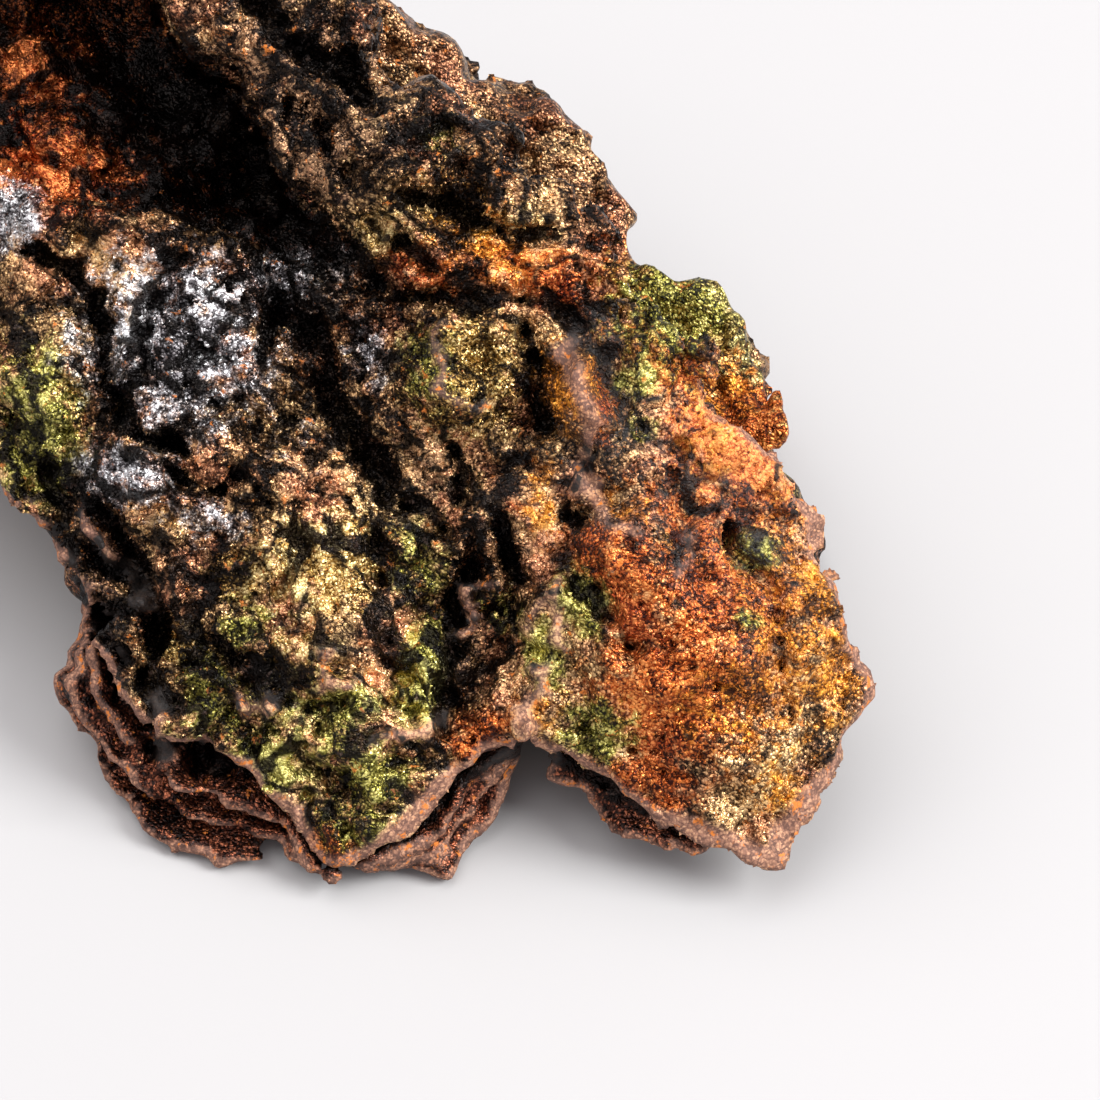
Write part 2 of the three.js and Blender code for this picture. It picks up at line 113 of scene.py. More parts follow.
# Each layer's top runs smoothly through its (a, b, c) points
levels = {
    "crust": [
        (-38.4, -0.8, -4), (-32.8, -7.2, -0.5), (-28.8, -12, 1.5), (-24, -17.6, 2.5), (-18.4, -24.8, 2.6),
        (-10.4, -21.6, 4), (-2.4, -16, 4.5), (-28, -0.8, 2), (-20, -8, 4), (-12, -12, 4.5), (-7.2, -5.6, 3),
        (-20, 4, 4), (-28, 8, 3), (-32, 16, 1), (-24, 20, 1), (-16, 17.6, 3), (-40.8, 14.4, -3),
        (-44, 8, -6), (-12, 8, 4), (-5.6, 13.6, 6), (0.8, 17.6, 7), (4, 10.4, 9), (0.8, 4, 6), (8, 0, 9),
        (12, -8, 10), (16, -16, 7), (5.6, -18.4, 4), (12, -22.4, 5), (18.4, -24, 3.5), (24, -16.8, 3),
        (25.6, -10.4, 2), (20, -5.6, 7), (21.6, 2.4, 2), (15.2, 4, 7), (12, 9.6, 6), (8, 16, 7),
        (4, 23.2, 7), (0, 25.6, 8), (-5.6, 29.6, 8), (-10.4, 33.6, 9), (-13.6, 39.2, 8), (-20, 40.8, 9),
        (-24, 44, 8), (-24.8, 36, 7), (-20.8, 28.8, 6), (-16, 24, 5), (-32, 50.4, 4), (-40, 53.6, 0),
        (-52, 54.4, -5), (-61.6, 51.2, -8), (-48.8, 17.6, -7), (-53.6, 24, -8), (-60, 32, -9),
        (-66.4, 39.2, -12), (-66.4, 47.2, -11),
    ],
    "hollow": [
        (-24, 32, -16), (-32, 37.6, -18), (-20, 25.6, -7), (-28, 29.6, -11), (-36, 32, -9),
        (-41.6, 39.2, -11), (-44, 44, -14), (-36, 45.6, -19), (-48.8, 39.2, -9), (-39.2, 29.6, -6),
        (-32, 27.6, -2.5), (-24, 24.4, -1), (-19.2, 23.6, -3), (-15.2, 21.6, -1), (-47.2, 48.8, -14),
    ],
    "shoulder": [
        (-8, 39.2, -22), (-12, 45.6, -20), (0.8, 32.8, -20), (4, 28, -20), (10.4, 18.4, -16),
        (15.2, 13.6, -12), (18, 8.8, -8), (-20, 50.4, -20),
    ],
}
levelSoftness = 7

# Smooth domes on the crust: centre, half widths, turn in degrees and height
swellings = [
    ((-40.8, 14.4), (5.5, 9.5), 10, 4),  # bulb at the left edge
    ((-28, 14.4), (9, 9), 0, 2.5),  # silvery shoulder
    ((-33.6, 6.4), (5.5, 4), 20, 2.5),
    ((-24.8, 7.2), (3.6, 4), 0, 1.8),
    ((-27.6, 2.4), (4.6, 2.2), 20, 1.2),
    ((-15.2, -16.4), (5.5, 3.2), -20, 1.5),  # fold above the front corner
    ((-6.8, 14.8), (6.5, 5.5), 0, 2),  # cup
    ((-5.8, 15.4), (2.6, 2.2), 0, -2.4),  # the cup's bowl
    ((2.8, 12), (2.6, 4.8), 10, 2.8),  # standing flake
    ((-0.4, 6.4), (3.6, 3.6), 0, 1.5),
    ((5.6, 6.8), (2.6, 2), 0, 1.4),
    ((10, 0.8), (2.2, 2), 0, 1.3),
    ((-30, -7.2), (2.4, 1.8), 0, 1.4),
    ((5.6, -0.8), (7.2, 2.8), -35, 2),  # tongue that flowed over the lobe
    ((-12, 29.6), (4, 3.2), 0, 2),  # knobs along the crest
    ((-8.8, 24.8), (3.6, 3.2), 0, 1.5),
    ((-17.6, 36), (3.6, 2.8), 0, 2),
    ((-34.4, -0.4), (3, 2.6), 0, -2.2),  # dimples at the left
    ((-23.6, 9.6), (1.8, 1.4), 0, -1.6),
    ((-2.4, 0.4), (2.6, 1.8), 30, -2.2),
]

# Grooves: half width, depth and the line they follow
grooves = [
    (0.8, 4.5, [(-42.4, 24.8), (-38.4, 23.2), (-36.2, 20.4), (-35.6, 16), (-35.2, 12), (-32, 9.2),
                (-28.8, 8.6)]),
    (0.9, 4.5, [(-22.4, 19.4), (-18.6, 17.4), (-17.4, 12.4), (-14.6, 8.6), (-12.6, 4.8)]),
    (0.7, 3.5, [(-20.6, 15.2), (-18.4, 12.8), (-17, 9.6)]),
    (0.7, 3.6, [(-11, 4), (-8, 1.4)]),
    (0.8, 4.5, [(-3.8, 2.2), (-3, -1.6)]),
    (0.6, 3, [(0, 3.6), (2, 2.4)]),
    (0.6, 3, [(-7.8, 8), (-7, 4.4)]),
    (1.1, 4, [(-23.6, 43.2), (-20.8, 40), (-16.8, 39.2), (-14.4, 36)]),  # valleys across the crest
    (0.9, 3.4, [(-10.6, 28), (-7.4, 26.6)]),
    (0.8, 3, [(-12, 24.2), (-8.8, 22.8)]),
    (0.9, 3.4, [(-40.2, 7), (-39.2, 2.6)]),
    (0.9, 3.6, [(-35.8, -5.4), (-34.2, -9.4)]),
    (0.9, 3, [(-32, -9.8), (-29, -12.8)]),
    (0.6, 3.4, [(-5.6, -1.6), (-7.6, -5.6), (-8.2, -10.4), (-8.8, -14)]),
    (0.7, 2.4, [(-12, 20.8), (-6.4, 20), (-0.4, 20.6), (2.8, 17.6)]),
    (0.6, 2.6, [(-3.2, 18.8), (-1.6, 17.2), (-0.6, 13.6), (-0.9, 9.8)]),
    (0.5, 1.6, [(4, 15.6), (6, 13), (6.2, 9.6)]),
    (0.7, 2.4, [(0, 0.4), (1.6, -2.4), (4.4, -5.2), (7.2, -7.6)]),
    (0.9, 3, [(-35.2, 2.4), (-34, -1.2), (-32, -4.8), (-32, -8.8)]),
    (0.5, 1.8, [(-35.4, 9.6), (-30.4, 8.8), (-27.6, 10.6), (-24.8, 12.4)]),
    (0.5, 1.6, [(-20.4, -12), (-17.2, -12.8), (-13.2, -12), (-10.4, -13.6)]),
    (0.5, 1.8, [(-14.4, -2.4), (-12.8, -6.4), (-13.6, -9.6)]),
    (0.6, 2, [(10.4, 4.8), (15.2, 0), (18.4, -4.8)]),
    (0.7, 2, [(-8, 28), (-3.2, 24.8), (0, 24.4)]),
    (0.7, 2.4, [(-24, 24), (-22, 20), (-23, 16)]),  # crevices round the silvery lumps
    (0.6, 2.2, [(-31, 22), (-33, 18), (-32, 14), (-34, 12)]),
    (0.6, 2.2, [(-31, 7.6), (-28, 4.6), (-25, 5.6), (-22, 3.4)]),
    (0.6, 2, [(-20, 4), (-19.4, 0), (-21.6, -3.6)]),
    (0.5, 2, [(-14.4, 4), (-13, 0.4), (-13.6, -2.4)]),
    (0.6, 2.2, [(-28.4, -4.6), (-27.6, -8), (-28.8, -9.4)]),
    (0.5, 1.8, [(-25.6, -9), (-22.4, -10), (-21.4, -12.6)]),
    (0.9, 3, [(-34, -0.2), (-32.8, -2.6)]),  # pockets along the left rim, with thin walls between them
    (0.7, 3, [(-37, -0.8), (-35, -1.6)]),
    (0.6, 3, [(-38.2, -2), (-37.6, -4)]),
    (0.9, 3.4, [(-36, -4.4), (-34, -5.2)]),
    (0.7, 3.4, [(-32.2, -6), (-31.8, -8.4)]),
    (0.7, 3, [(-32.6, -10), (-31.2, -13)]),
    (0.7, 2.8, [(-31.4, -16), (-30, -16.6)]),
    (0.5, 2.4, [(-28.4, -16.4), (-26.6, -17.2)]),
]

# Thin broken walls that stand between pockets: half width, height and the line they follow
walls = [
    (0.4, 1.5, [(-7, -6.6), (-5.9, -4.2), (-4.6, -3)]),
    (0.5, 1.5, [(-2.4, -5.4), (-1.5, -4.2), (0, -3.7), (0.6, -2.8)]),
    (0.4, 1.4, [(0.2, -3.8), (0.4, -5.2), (0.9, -6.6), (0.6, -7.7)]),
    (0.7, 1.4, [(-2.2, -9.8), (-0.5, -10.2), (-1.4, -12), (-1.7, -13.8), (-1.8, -16)]),
    (0.5, 1.4, [(-18.2, -8.2), (-18, -10.1), (-15, -11)]),
    (0.5, 1.2, [(-13.6, -14.8), (-11.4, -15), (-8.6, -13.8)]),
    (0.6, 1.4, [(-25.4, -12.2), (-22.7, -13), (-21.8, -11.8)]),
    (0.6, 1.6, [(-31, -11.5), (-30.7, -14.8), (-29.8, -16.7)]),
    (0.6, 1.8, [(-37.4, 1.4), (-36, -0.4), (-34.2, -1.4), (-33.2, -3.4), (-32.6, -5.4)]),
    (0.5, 1.6, [(-38.8, -0.2), (-37.6, -2.8), (-36.2, -4.4)]),
    (1.3, 0.4, [(1.6, 15.6), (3.2, 12.4), (3.4, 9.2)]),
    (0.7, 0.8, [(3.2, 8.4), (2.4, 5), (4.6, 2.6), (7.4, 1.6)]),
    (0.4, 1.2, [(-9.4, 18.6), (-9.8, 15.2), (-7.6, 12.2), (-4.4, 11.6)]),
    (0.4, 1, [(10.6, 2.6), (11.6, -0.6), (9.8, -2.2)]),
]
wallTop = {"height": 1.5, "width": 0.8, "tint": 0.9, "crisp": 3, "inset": 1.2}

# The ragged side of a groove or a wall: length of its waves, width, how much that varies, and reach
lineSide = {"wave": 1.9, "width": 1.1, "ragged": 0.7, "reach": 1.4}

# Rounded voids that eat in under the crest from the hollow: centre and half widths in a, b and c
undercuts = [
    ((-22, 30, -9), (5.5, 5, 5.5)),
    ((-28, 37.5, -10), (6.5, 5.5, 6.5)),
    ((-36, 44, -11), (6.5, 5, 6.5)),
]

body = {
    "rimThickness": 1.9,
    "backThickness": 8,
    "rimTaper": 0.45,
    "rimFrom": ((-60, 12), (26, 11)),  # only in front of this line does the crust end in a thin broken rim
    "rimFade": 5,
    "crustThickness": 9,
    "shoulderThickness": 12,
    "rimBevel": 2,  # the broken edge leans out by this much, so its fracture shows from above
    "coreInset": 2.2,
    "coreDepth": 1,
    "coreBelowCrust": 4,
    "coreFlare": 0.8,
    "coreFlareLimit": 8,
    "ledgeHeight": 9,  # how much of the rim's height the older crusts step down through
    "ledges": ((0.3, 0.26, 1.5), (0.6, 0.48, 1.5), (1, 0.72, 2.2)),  # share out, share down and thickness
    "ledgeBevel": 1,
    "ledgeLift": 1.6,  # keeps the lowest one off the ground
    "ledgeCurl": 1.5,  # the older crusts sink by this much behind their rims
    "ledgeRim": 1.9,  # which are this wide
    "lobeDrop": 2.4,
    "lobeThickness": 1.6,
    "hollowLip": 0.8,
    "hollowFade": 3,
    "beddingLayer": 5,
    "beddingAlong": 13,
    "beddingDepth": 2.8,
    "waves": ((9.5, 1.3), (5.2, 0.8)),  # length and height of the rolling surface
    "dipWave": 17,
    "dipHeight": 2.6,
    "footHeight": 0.3,
}


def clamp01(t):
    return np.clip(t, 0, 1)


def smoothStep(t):
    t = clamp01(t)
    return t * t * (3 - 2 * t)


def segmentDistance(a, b, p, q):
    run = (q[0] - p[0], q[1] - p[1])
    share = clamp01(((a - p[0]) * run[0] + (b - p[1]) * run[1]) / (run[0] ** 2 + run[1] ** 2))
    return np.hypot(a - p[0] - share * run[0], b - p[1] - share * run[1])


def outlineDistance(outline, a, b):
    nearest = np.full(a.shape, np.inf)
    inside = np.zeros(a.shape, bool)
    for p, q in zip(outline, outline[1:] + outline[:1]):
        nearest = np.minimum(nearest, segmentDistance(a, b, p, q))
        if p[1] != q[1]:
            passesBy = (p[1] > b) != (q[1] > b)
            inside ^= passesBy & (a < p[0] + (q[0] - p[0]) * (b - p[1]) / (q[1] - p[1]))
    return np.where(inside, -nearest, nearest)


def levelAt(points, a, b):
    total = np.zeros(a.shape)
    weights = np.zeros(a.shape)
    for la, lb, lc in points:
        weight = 1 / ((a - la) ** 2 + (b - lb) ** 2 + levelSoftness) ** 2
        total += weight * lc
        weights += weight
    return total / weights


def domeAt(centre, reach, turn, a, b):
    angle = math.radians(turn)
    along = ((a - centre[0]) * math.cos(angle) + (b - centre[1]) * math.sin(angle)) / reach[0]
    across = ((b - centre[1]) * math.cos(angle) - (a - centre[0]) * math.sin(angle)) / reach[1]
    return np.maximum(0, 1 - along ** 2 - across ** 2) ** 1.5


def noise(*place):
    # Smooth noise from -1 to 1 over a lattice of fixed values
    cells = [np.floor(t).astype(np.int64) for t in place]
    lows = [int(t.min()) for t in cells]
    ranges = [np.arange(low, int(t.max()) + 2) for low, t in zip(lows, cells)]
    i, j, k = np.ix_(*ranges)
    hashed = np.sin(i * 127.1 + j * 311.7 + k * 74.7) * 43758.5453
    lattice = (2 * (hashed - np.floor(hashed)) - 1).astype(np.float32)
    blends = [smoothStep(t - cell).astype(np.float32) for t, cell in zip(place, cells)]
    i, j, k = (cell - low for cell, low in zip(cells, lows))
    total = 0
    for steps in np.ndindex(2, 2, 2):
        weight = 1
        for step, blend in zip(steps, blends):
            weight = weight * (blend if step else 1 - blend)
        total = total + weight * lattice[i + steps[0], j + steps[1], k + steps[2]]
    return total


def cellPattern(x, y, z, seed):
    # Points strewn one to a cell: how far the nearest and the next are, and the nearest's own number
    rng = np.random.default_rng(seed)
    cells = [np.floor(t).astype(np.int64) for t in (x, y, z)]
    lows = [int(t.min()) - 1 for t in cells]
    shape = [int(t.max()) + 2 - low for low, t in zip(lows, cells)]
    strewn = rng.random((*shape, 4), dtype=np.float32)
    i, j, k = (cell - low - 1 for cell, low in zip(cells, lows))
    inCell = [(t - cell).astype(np.float32) for t, cell in zip((x, y, z), cells)]
    nearest = np.full(x.shape, 9, np.float32)
    second = nearest.copy()
    own = nearest.copy()
    for steps in np.ndindex(3, 3, 3):
        point = strewn[i + steps[0], j + steps[1], k + steps[2]]
        gap = sum((point[:, n] + (steps[n] - 1 - inCell[n])) ** 2 for n in range(3))
        closer = gap < nearest
        second = np.where(closer, nearest, np.minimum(second, gap))
        own = np.where(closer, point[:, 3], own)
        nearest = np.minimum(nearest, gap)
    return np.sqrt(nearest), np.sqrt(second), own


# Where each kind of surface lies on the crust: centre in a and b, half widths, strength, and degrees of turn
zones = {
    "silver": [
        (-29.6, 16.8, 8, 7.5, 0.85, -10), (-20, 21.6, 5, 3.2, 0.8), (-34.4, 6, 4.4, 3, 0.8),
        (-26.8, 2.4, 3.4, 2.2, 0.6), (-38.2, 15.6, 1.2, 3, 0.6), (-43.2, 26.8, 2.4, 3, 0.9),
        (-14.8, 16.4, 1.8, 3.8, 0.7, 20), (-19, 9, 4, 3, 0.3),
    ],
    "green": [
        (-14, -18, 3.4, 2.2, 1, -20), (-22.8, -16.8, 3.2, 2.4, 1, -20), (-16.4, -12.4, 3.6, 1.8, 0.9),
        (-10, -9.6, 2.2, 5, 1, -10), (-24.4, -6, 2.2, 2, 0.8), (-10.4, -0.8, 2.6, 4, 0.6),
        (2.4, -4, 2, 3, 0.9, 20), (-0.4, -8.4, 1.8, 3, 0.9), (-4, -4.8, 2, 2, 0.6),
        (3.6, -14.4, 3.2, 2.8, 0.8), (6.6, 13.4, 1.7, 1.5, 1), (7.4, 9.6, 1.5, 1.2, 0.8),
        (16, 0, 2.1, 1.7, 0.9), (15.4, -5.6, 1.6, 1.2, 0.6), (-9.6, 14.6, 2.4, 3.6, 0.7),
        (-41, 10, 4, 7, 0.9), (-27.4, -11, 2.2, 3.2, 0.9, 10), (-15, -22, 5, 3, 0.6, 10),
        (-31, -15, 2.4, 2, 0.5), (-9, 33, 2.4, 2, 0.5), (-18, 38, 3, 2, 0.5), (10, 20, 6, 5, 0.9, 40),
        (-20, -15, 10, 6, 0.55, -10),
    ],
    "gilt": [
        (-30, -7.2, 2.4, 1.9, 1), (-27.4, -8.6, 2, 1.8, 0.8), (-17.6, -1, 6, 4.4, 0.8),
        (-23.4, -1.4, 4, 3, 0.7), (10, 0.8, 1.7, 1.4, 1), (22.4, -7.2, 3, 8, 0.3, 5),
        (18.4, -15.6, 4, 4, 0.4), (-13, 24.6, 4, 3, 0.6, -40), (-6, 25, 8, 4, 0.6, -25),
        (1, -15, 2.6, 2.6, 0.6), (-20.6, -9.4, 4, 4, 0.6), (-42, 14, 3, 4, 0.5), (-7, 14, 5, 5, 0.9),
        (-9, 5, 5, 3, 0.4),
    ],
    "copper": [
        (5, -1.8, 4.8, 3.2, 1, -35), (10.4, -11, 7.4, 6.4, 0.9), (7.2, -18.4, 4.6, 2.8, 0.8),
        (3.4, 12, 1.9, 3.4, 0.9, 10), (-2.4, 22.4, 7, 2.4, 0.8, -15), (9.4, 16.4, 3.2, 5.6, 0.9, 30),
        (17, 6, 3.4, 5, 0.7, 30), (-17.4, -23.4, 2.4, 1.8, 0.9), (-5.6, -15, 2.8, 3.2, 0.8),
        (-9, 21.4, 4, 2, 0.5, -20), (13, -4, 9, 12, 0.75), (9, 19, 5, 7, 0.8, 40), (15, 9, 6, 6, 1, 30),
    ],
    # The first three rust patches are partly painted light on the lit left side of the hollow, with a
    # painted glint at (-36.8, 32); the rest is the crust's own rust
    "rust": [
        (-41, 31, 7, 4.5, 0.8), (-36.8, 32, 1.8, 1.4, 1), (-42, 40, 5, 5, 0.5),
        (-11, 22.4, 3, 1.8, 0.8, -10), (0.4, 20.6, 3, 1.4, 0.7), (6, -4.8, 4.6, 2, 0.8, -50),
        (3.6, 12, 1, 1.8, 1, 10), (-1.6, 3.6, 2.6, 1.2, 0.5), (9, -15, 3, 2, 0.6), (-5, -24, 3, 4, 0.7),
        (19, 3, 2, 2, 0.5),
    ],
    # Painted shade: darker patches standing in for shade, most of all on the crest's top, which the key
    # light leaves dark
    "paintedShade": [
        (-20, 36, 10, 8, 0.9, -45), (-22.4, 30.4, 5, 3.6, 1, -45), (-11.6, 6.4, 6, 4, 0.6, -30),
        (-15.4, 20.6, 5, 3, 0.7), (-24, 38, 8, 8, 0.6, -40), (-37, -2, 4, 7, 0.8, 20),
        (-6.8, -9, 1.6, 5, 0.8, 10), (-4, 0.6, 4, 2, 0.6), (-14, 10, 4, 3, 0.5),
    ],
    "ochre": [
        (21.6, -2.6, 2, 3, 0.8), (14, 13, 4, 3, 0.5, 40), (22.4, -10, 2.4, 5, 0.7),
        (-0.8, 4, 1.4, 4.4, 0.6), (15, -12, 5, 5, 0.5), (18.8, -19, 3.4, 2.4, 0.6),
        (6, 3.4, 3, 1.6, 0.5, -20), (12, 8, 3, 3, 0.4), (-0.6, -13, 2, 3, 0.6),
        (-30.4, -6.4, 1.4, 1, 0.8), (19, -6, 5, 11, 0.5), (1.6, 13, 2.4, 4, 0.9, 10),
        (8, 18, 3, 5, 0.7, 35), (-6, 25, 5, 3, 0.5, -40),
    ],
    # Painted shadow: near black in the deep of the hollow, where the crest casts its shadow
    "hollowShadow": [
        (-21, 30, 9, 6, 1, -45), (-29, 36, 8, 6, 1, -30), (-15, 24.6, 4, 2.4, 0.8, -40),
    ],
    "spongy": [
        (-28, 16, 11, 9, 1), (-18, 12, 9, 9, 1), (-10, 6, 8, 6, 0.8), (-33, 0, 6, 7, 0.8),
        (12, 4, 7, 4, 0.5), (-10, 28, 14, 6, 0.7, -45), (-38, -4, 4, 9, 1, 30),
        (-30, -14, 6, 4, 0.8, -45),
    ],
    "calm": [
        (-6.4, 14.6, 6, 5, 0.7), (3, 12, 2.6, 4.4, 0.9, 10), (13, -13, 12, 11, 1), (2, -15, 7, 6, 0.8),
        (-14, -19, 7, 5, 0.5),
    ],
    "earthy": [
        (15, 5, 7, 9, 0.7, 30), (4, 12, 3, 6, 0.6), (19, -6, 5, 9, 0.3), (2, 4, 5, 5, 0.3),
    ],
}
zoneSpread = 1.6  # a zone fades out at this many times its half widths

crustColours = ("gilt", "copper", "rust", "ochre", "green", "silver", "paintedShade")

relief = {
    "warp": ((6.5, 2), (2.6, 0.8), (1.3, 0.35)),
    "plate": {"wave": 7.5, "step": 1.7, "dome": 0.7, "crack": 0.09, "depth": 3, "seed": 1},
    "lump": {"wave": 3.4, "step": 0.8, "dome": 1.9, "crack": 0.165, "depth": 2.6, "seed": 2,
             "along": (0.5, -0.87), "stretch": 1.9},
    "knob": {"wave": 1.5, "step": 0.3, "dome": 0.9, "crack": 0.3, "depth": 0.6, "seed": 3},
    "grain": {"wave": 0.85, "height": 0.2},
    "pit": {"wave": 2.6, "depth": 3, "rare": 1.25, "shade": 0.7, "slope": 1.4, "fine": 0.5, "spongy": 0.65,
            "calm": 2},
    "oftenWave": 5.3,  # from where the plates crack to where the lumps do
    "lift": 0.5,  # makes up for what the crevices take away
    "leastSpongy": 0.1,
    "brokenCalm": 0.9,
    "smoothKnobs": 1,  # share of the knobs left where the crust isn't spongy
    "spongyKnobs": 1.8,
    "calmShare": 0.45,  # of the relief where the crust is calm
    "ledgeShare": 0.45,  # and on the thin older crusts
    "shoulderShare": 0.4,
    "band": 3.6,  # how far from the plain form the fine relief reaches
}

# How full a mark is on its own sheet, and the mm through which it fades out above and below
nearCrust = {"relief": (1, 6), "top": (1.3, 5), "grooves": (1.9, 5)}
nearShoulder = (1.4, 6)


def nearSheet(above, fade):
    return smoothStep(fade[0] - np.abs(above) / fade[1])


def zoneAt(name, a, b):
    total = np.zeros(a.shape)
    for middleA, middleB, reachA, reachB, strength, *turn in zones[name]:
        reach = (reachA * zoneSpread, reachB * zoneSpread)
        total = np.maximum(total, strength * domeAt((middleA, middleB), reach, sum(turn), a, b))
    return total


# Everything that depends on a and b alone is worked out once on a sheet and looked up from there

sheetStep = 0.4


def makeSheet(low, high):
    spans = [np.arange(low[n], high[n] + sheetStep, sheetStep) for n in (0, 1)]
    return np.meshgrid(*spans, indexing="ij")


def alongLine(halfWidth, line, a, b):
    # 1 along the line, down to 0 at a little over its half width
    nearest = np.full(a.shape, np.inf)
    for p, q in zip(line, line[1:]):
        nearest = np.minimum(nearest, segmentDistance(a, b, p, q))
    wave = lineSide["wave"]
    ragged = lineSide["width"] + lineSide["ragged"] * noise(a / wave, b / wave, 5.5)
    return smoothStep(lineSide["reach"] - ragged * nearest / halfWidth)


def groovesAt(a, b):
    return np.max([depth * alongLine(halfWidth, line, a, b) for halfWidth, depth, line in grooves], axis=0)


def wallsAt(a, b):
    highest = np.max([alongLine(halfWidth, line, a, b) for halfWidth, _, line in walls], axis=0)
    return smoothStep(wallTop["crisp"] * highest - wallTop["inset"])


def crustTop(a, b):
    level = levelAt(levels["crust"], a, b)
    for centre, reach, turn, rise in swellings:
        level += rise * domeAt(centre, reach, turn, a, b)
    for halfWidth, depth, line in grooves:
        level -= depth * alongLine(halfWidth, line, a, b)
    for halfWidth, height, line in walls:
        level += wallTop["height"] * height * alongLine(wallTop["width"] * halfWidth, line, a, b)
    inHollow = smoothStep(0.5 - outlineDistance(outlines["hollow"], a, b) / (2 * body["hollowLip"]))
    return level + inHollow * (levelAt(levels["hollow"], a, b) - level)


# How far each outline is broken up, and the length and height of the waves that do it
raggedness = {"inner": 2.2, "crust": 0.9, "shoulder": 2.2, "lowLedge": 2.2, "lobeLedge": 2.2}
raggedWaves = ((3.1, 0.55), (1.3, 0.35), (0.9, 0.2))


def jagged(a, b, size):
    # The same place moved a little, so that a straight outline breaks up
    for wave, height in raggedWaves:
        a = a + size * height * noise(a / wave, b / wave, 3.5)
        b = b + size * height * noise(a / wave, b / wave, 8.5)
    return a, b


a, b = makeSheet(crust["low"], crust["high"])
sheets = {name: outlineDistance(outlines[name], *jagged(a, b, size))
          for name, size in raggedness.items() if name != "inner"}
for name, heightAt in (("crustTop", crustTop), ("grooves", groovesAt), ("walls", wallsAt)):
    sheets[name] = heightAt(*jagged(a, b, raggedness["inner"]))
sheets["shoulderTop"] = levelAt(levels["shoulder"], a, b)
(lineA, lineB), (endA, endB) = body["rimFrom"]
inFront = lineB + (endB - lineB) * (a - lineA) / (endA - lineA) - b
sheets["front"] = smoothStep(inFront / body["rimFade"] + 0.5)
sheets["hollow"] = smoothStep(0.5 - outlineDistance(outlines["hollow"], a, b) / body["hollowFade"])
for name in zones:
    sheets[name + "Zone"] = zoneAt(name, a, b)
sheets = {name: sheet.astype(np.float32) for name, sheet in sheets.items()}

groundLow = (crust["low"][0], -70)
groundSheet = outlineDistance(footprint, *makeSheet(groundLow, (crust["high"][0], 90))).astype(np.float32)
print("sheets ready")


def lookUp(sheet, low, a, b):
    u = np.clip((a - low[0]) / sheetStep, 0, sheet.shape[0] - 1.001)
    v = np.clip((b - low[1]) / sheetStep, 0, sheet.shape[1] - 1.001)
    i = u.astype(np.int64)
    j = v.astype(np.int64)
    u = (u - i).astype(np.float32)
    v = (v - j).astype(np.float32)
    near = sheet[i, j] * (1 - u) + sheet[i + 1, j] * u
    far = sheet[i, j + 1] * (1 - u) + sheet[i + 1, j + 1] * u
    return near * (1 - v) + far * v


def onCrust(name, a, b):
    return lookUp(sheets[name], crust["low"], a, b)


def rollAt(a, b, c):
    return sum(height * noise(a / wave, b / wave, c / wave) for wave, height in body["waves"])


def plate(edge, above, thickness, bevel=0):
    # A broken sheet, whose side leans out by the bevel, and how much a point belongs to that side
    side = edge + bevel * clamp01(1 + above / thickness)
    broken = smoothStep((side - above) / 0.5) * smoothStep(1.4 + above / thickness)
    return np.maximum(np.maximum(side, above), -above - thickness), broken


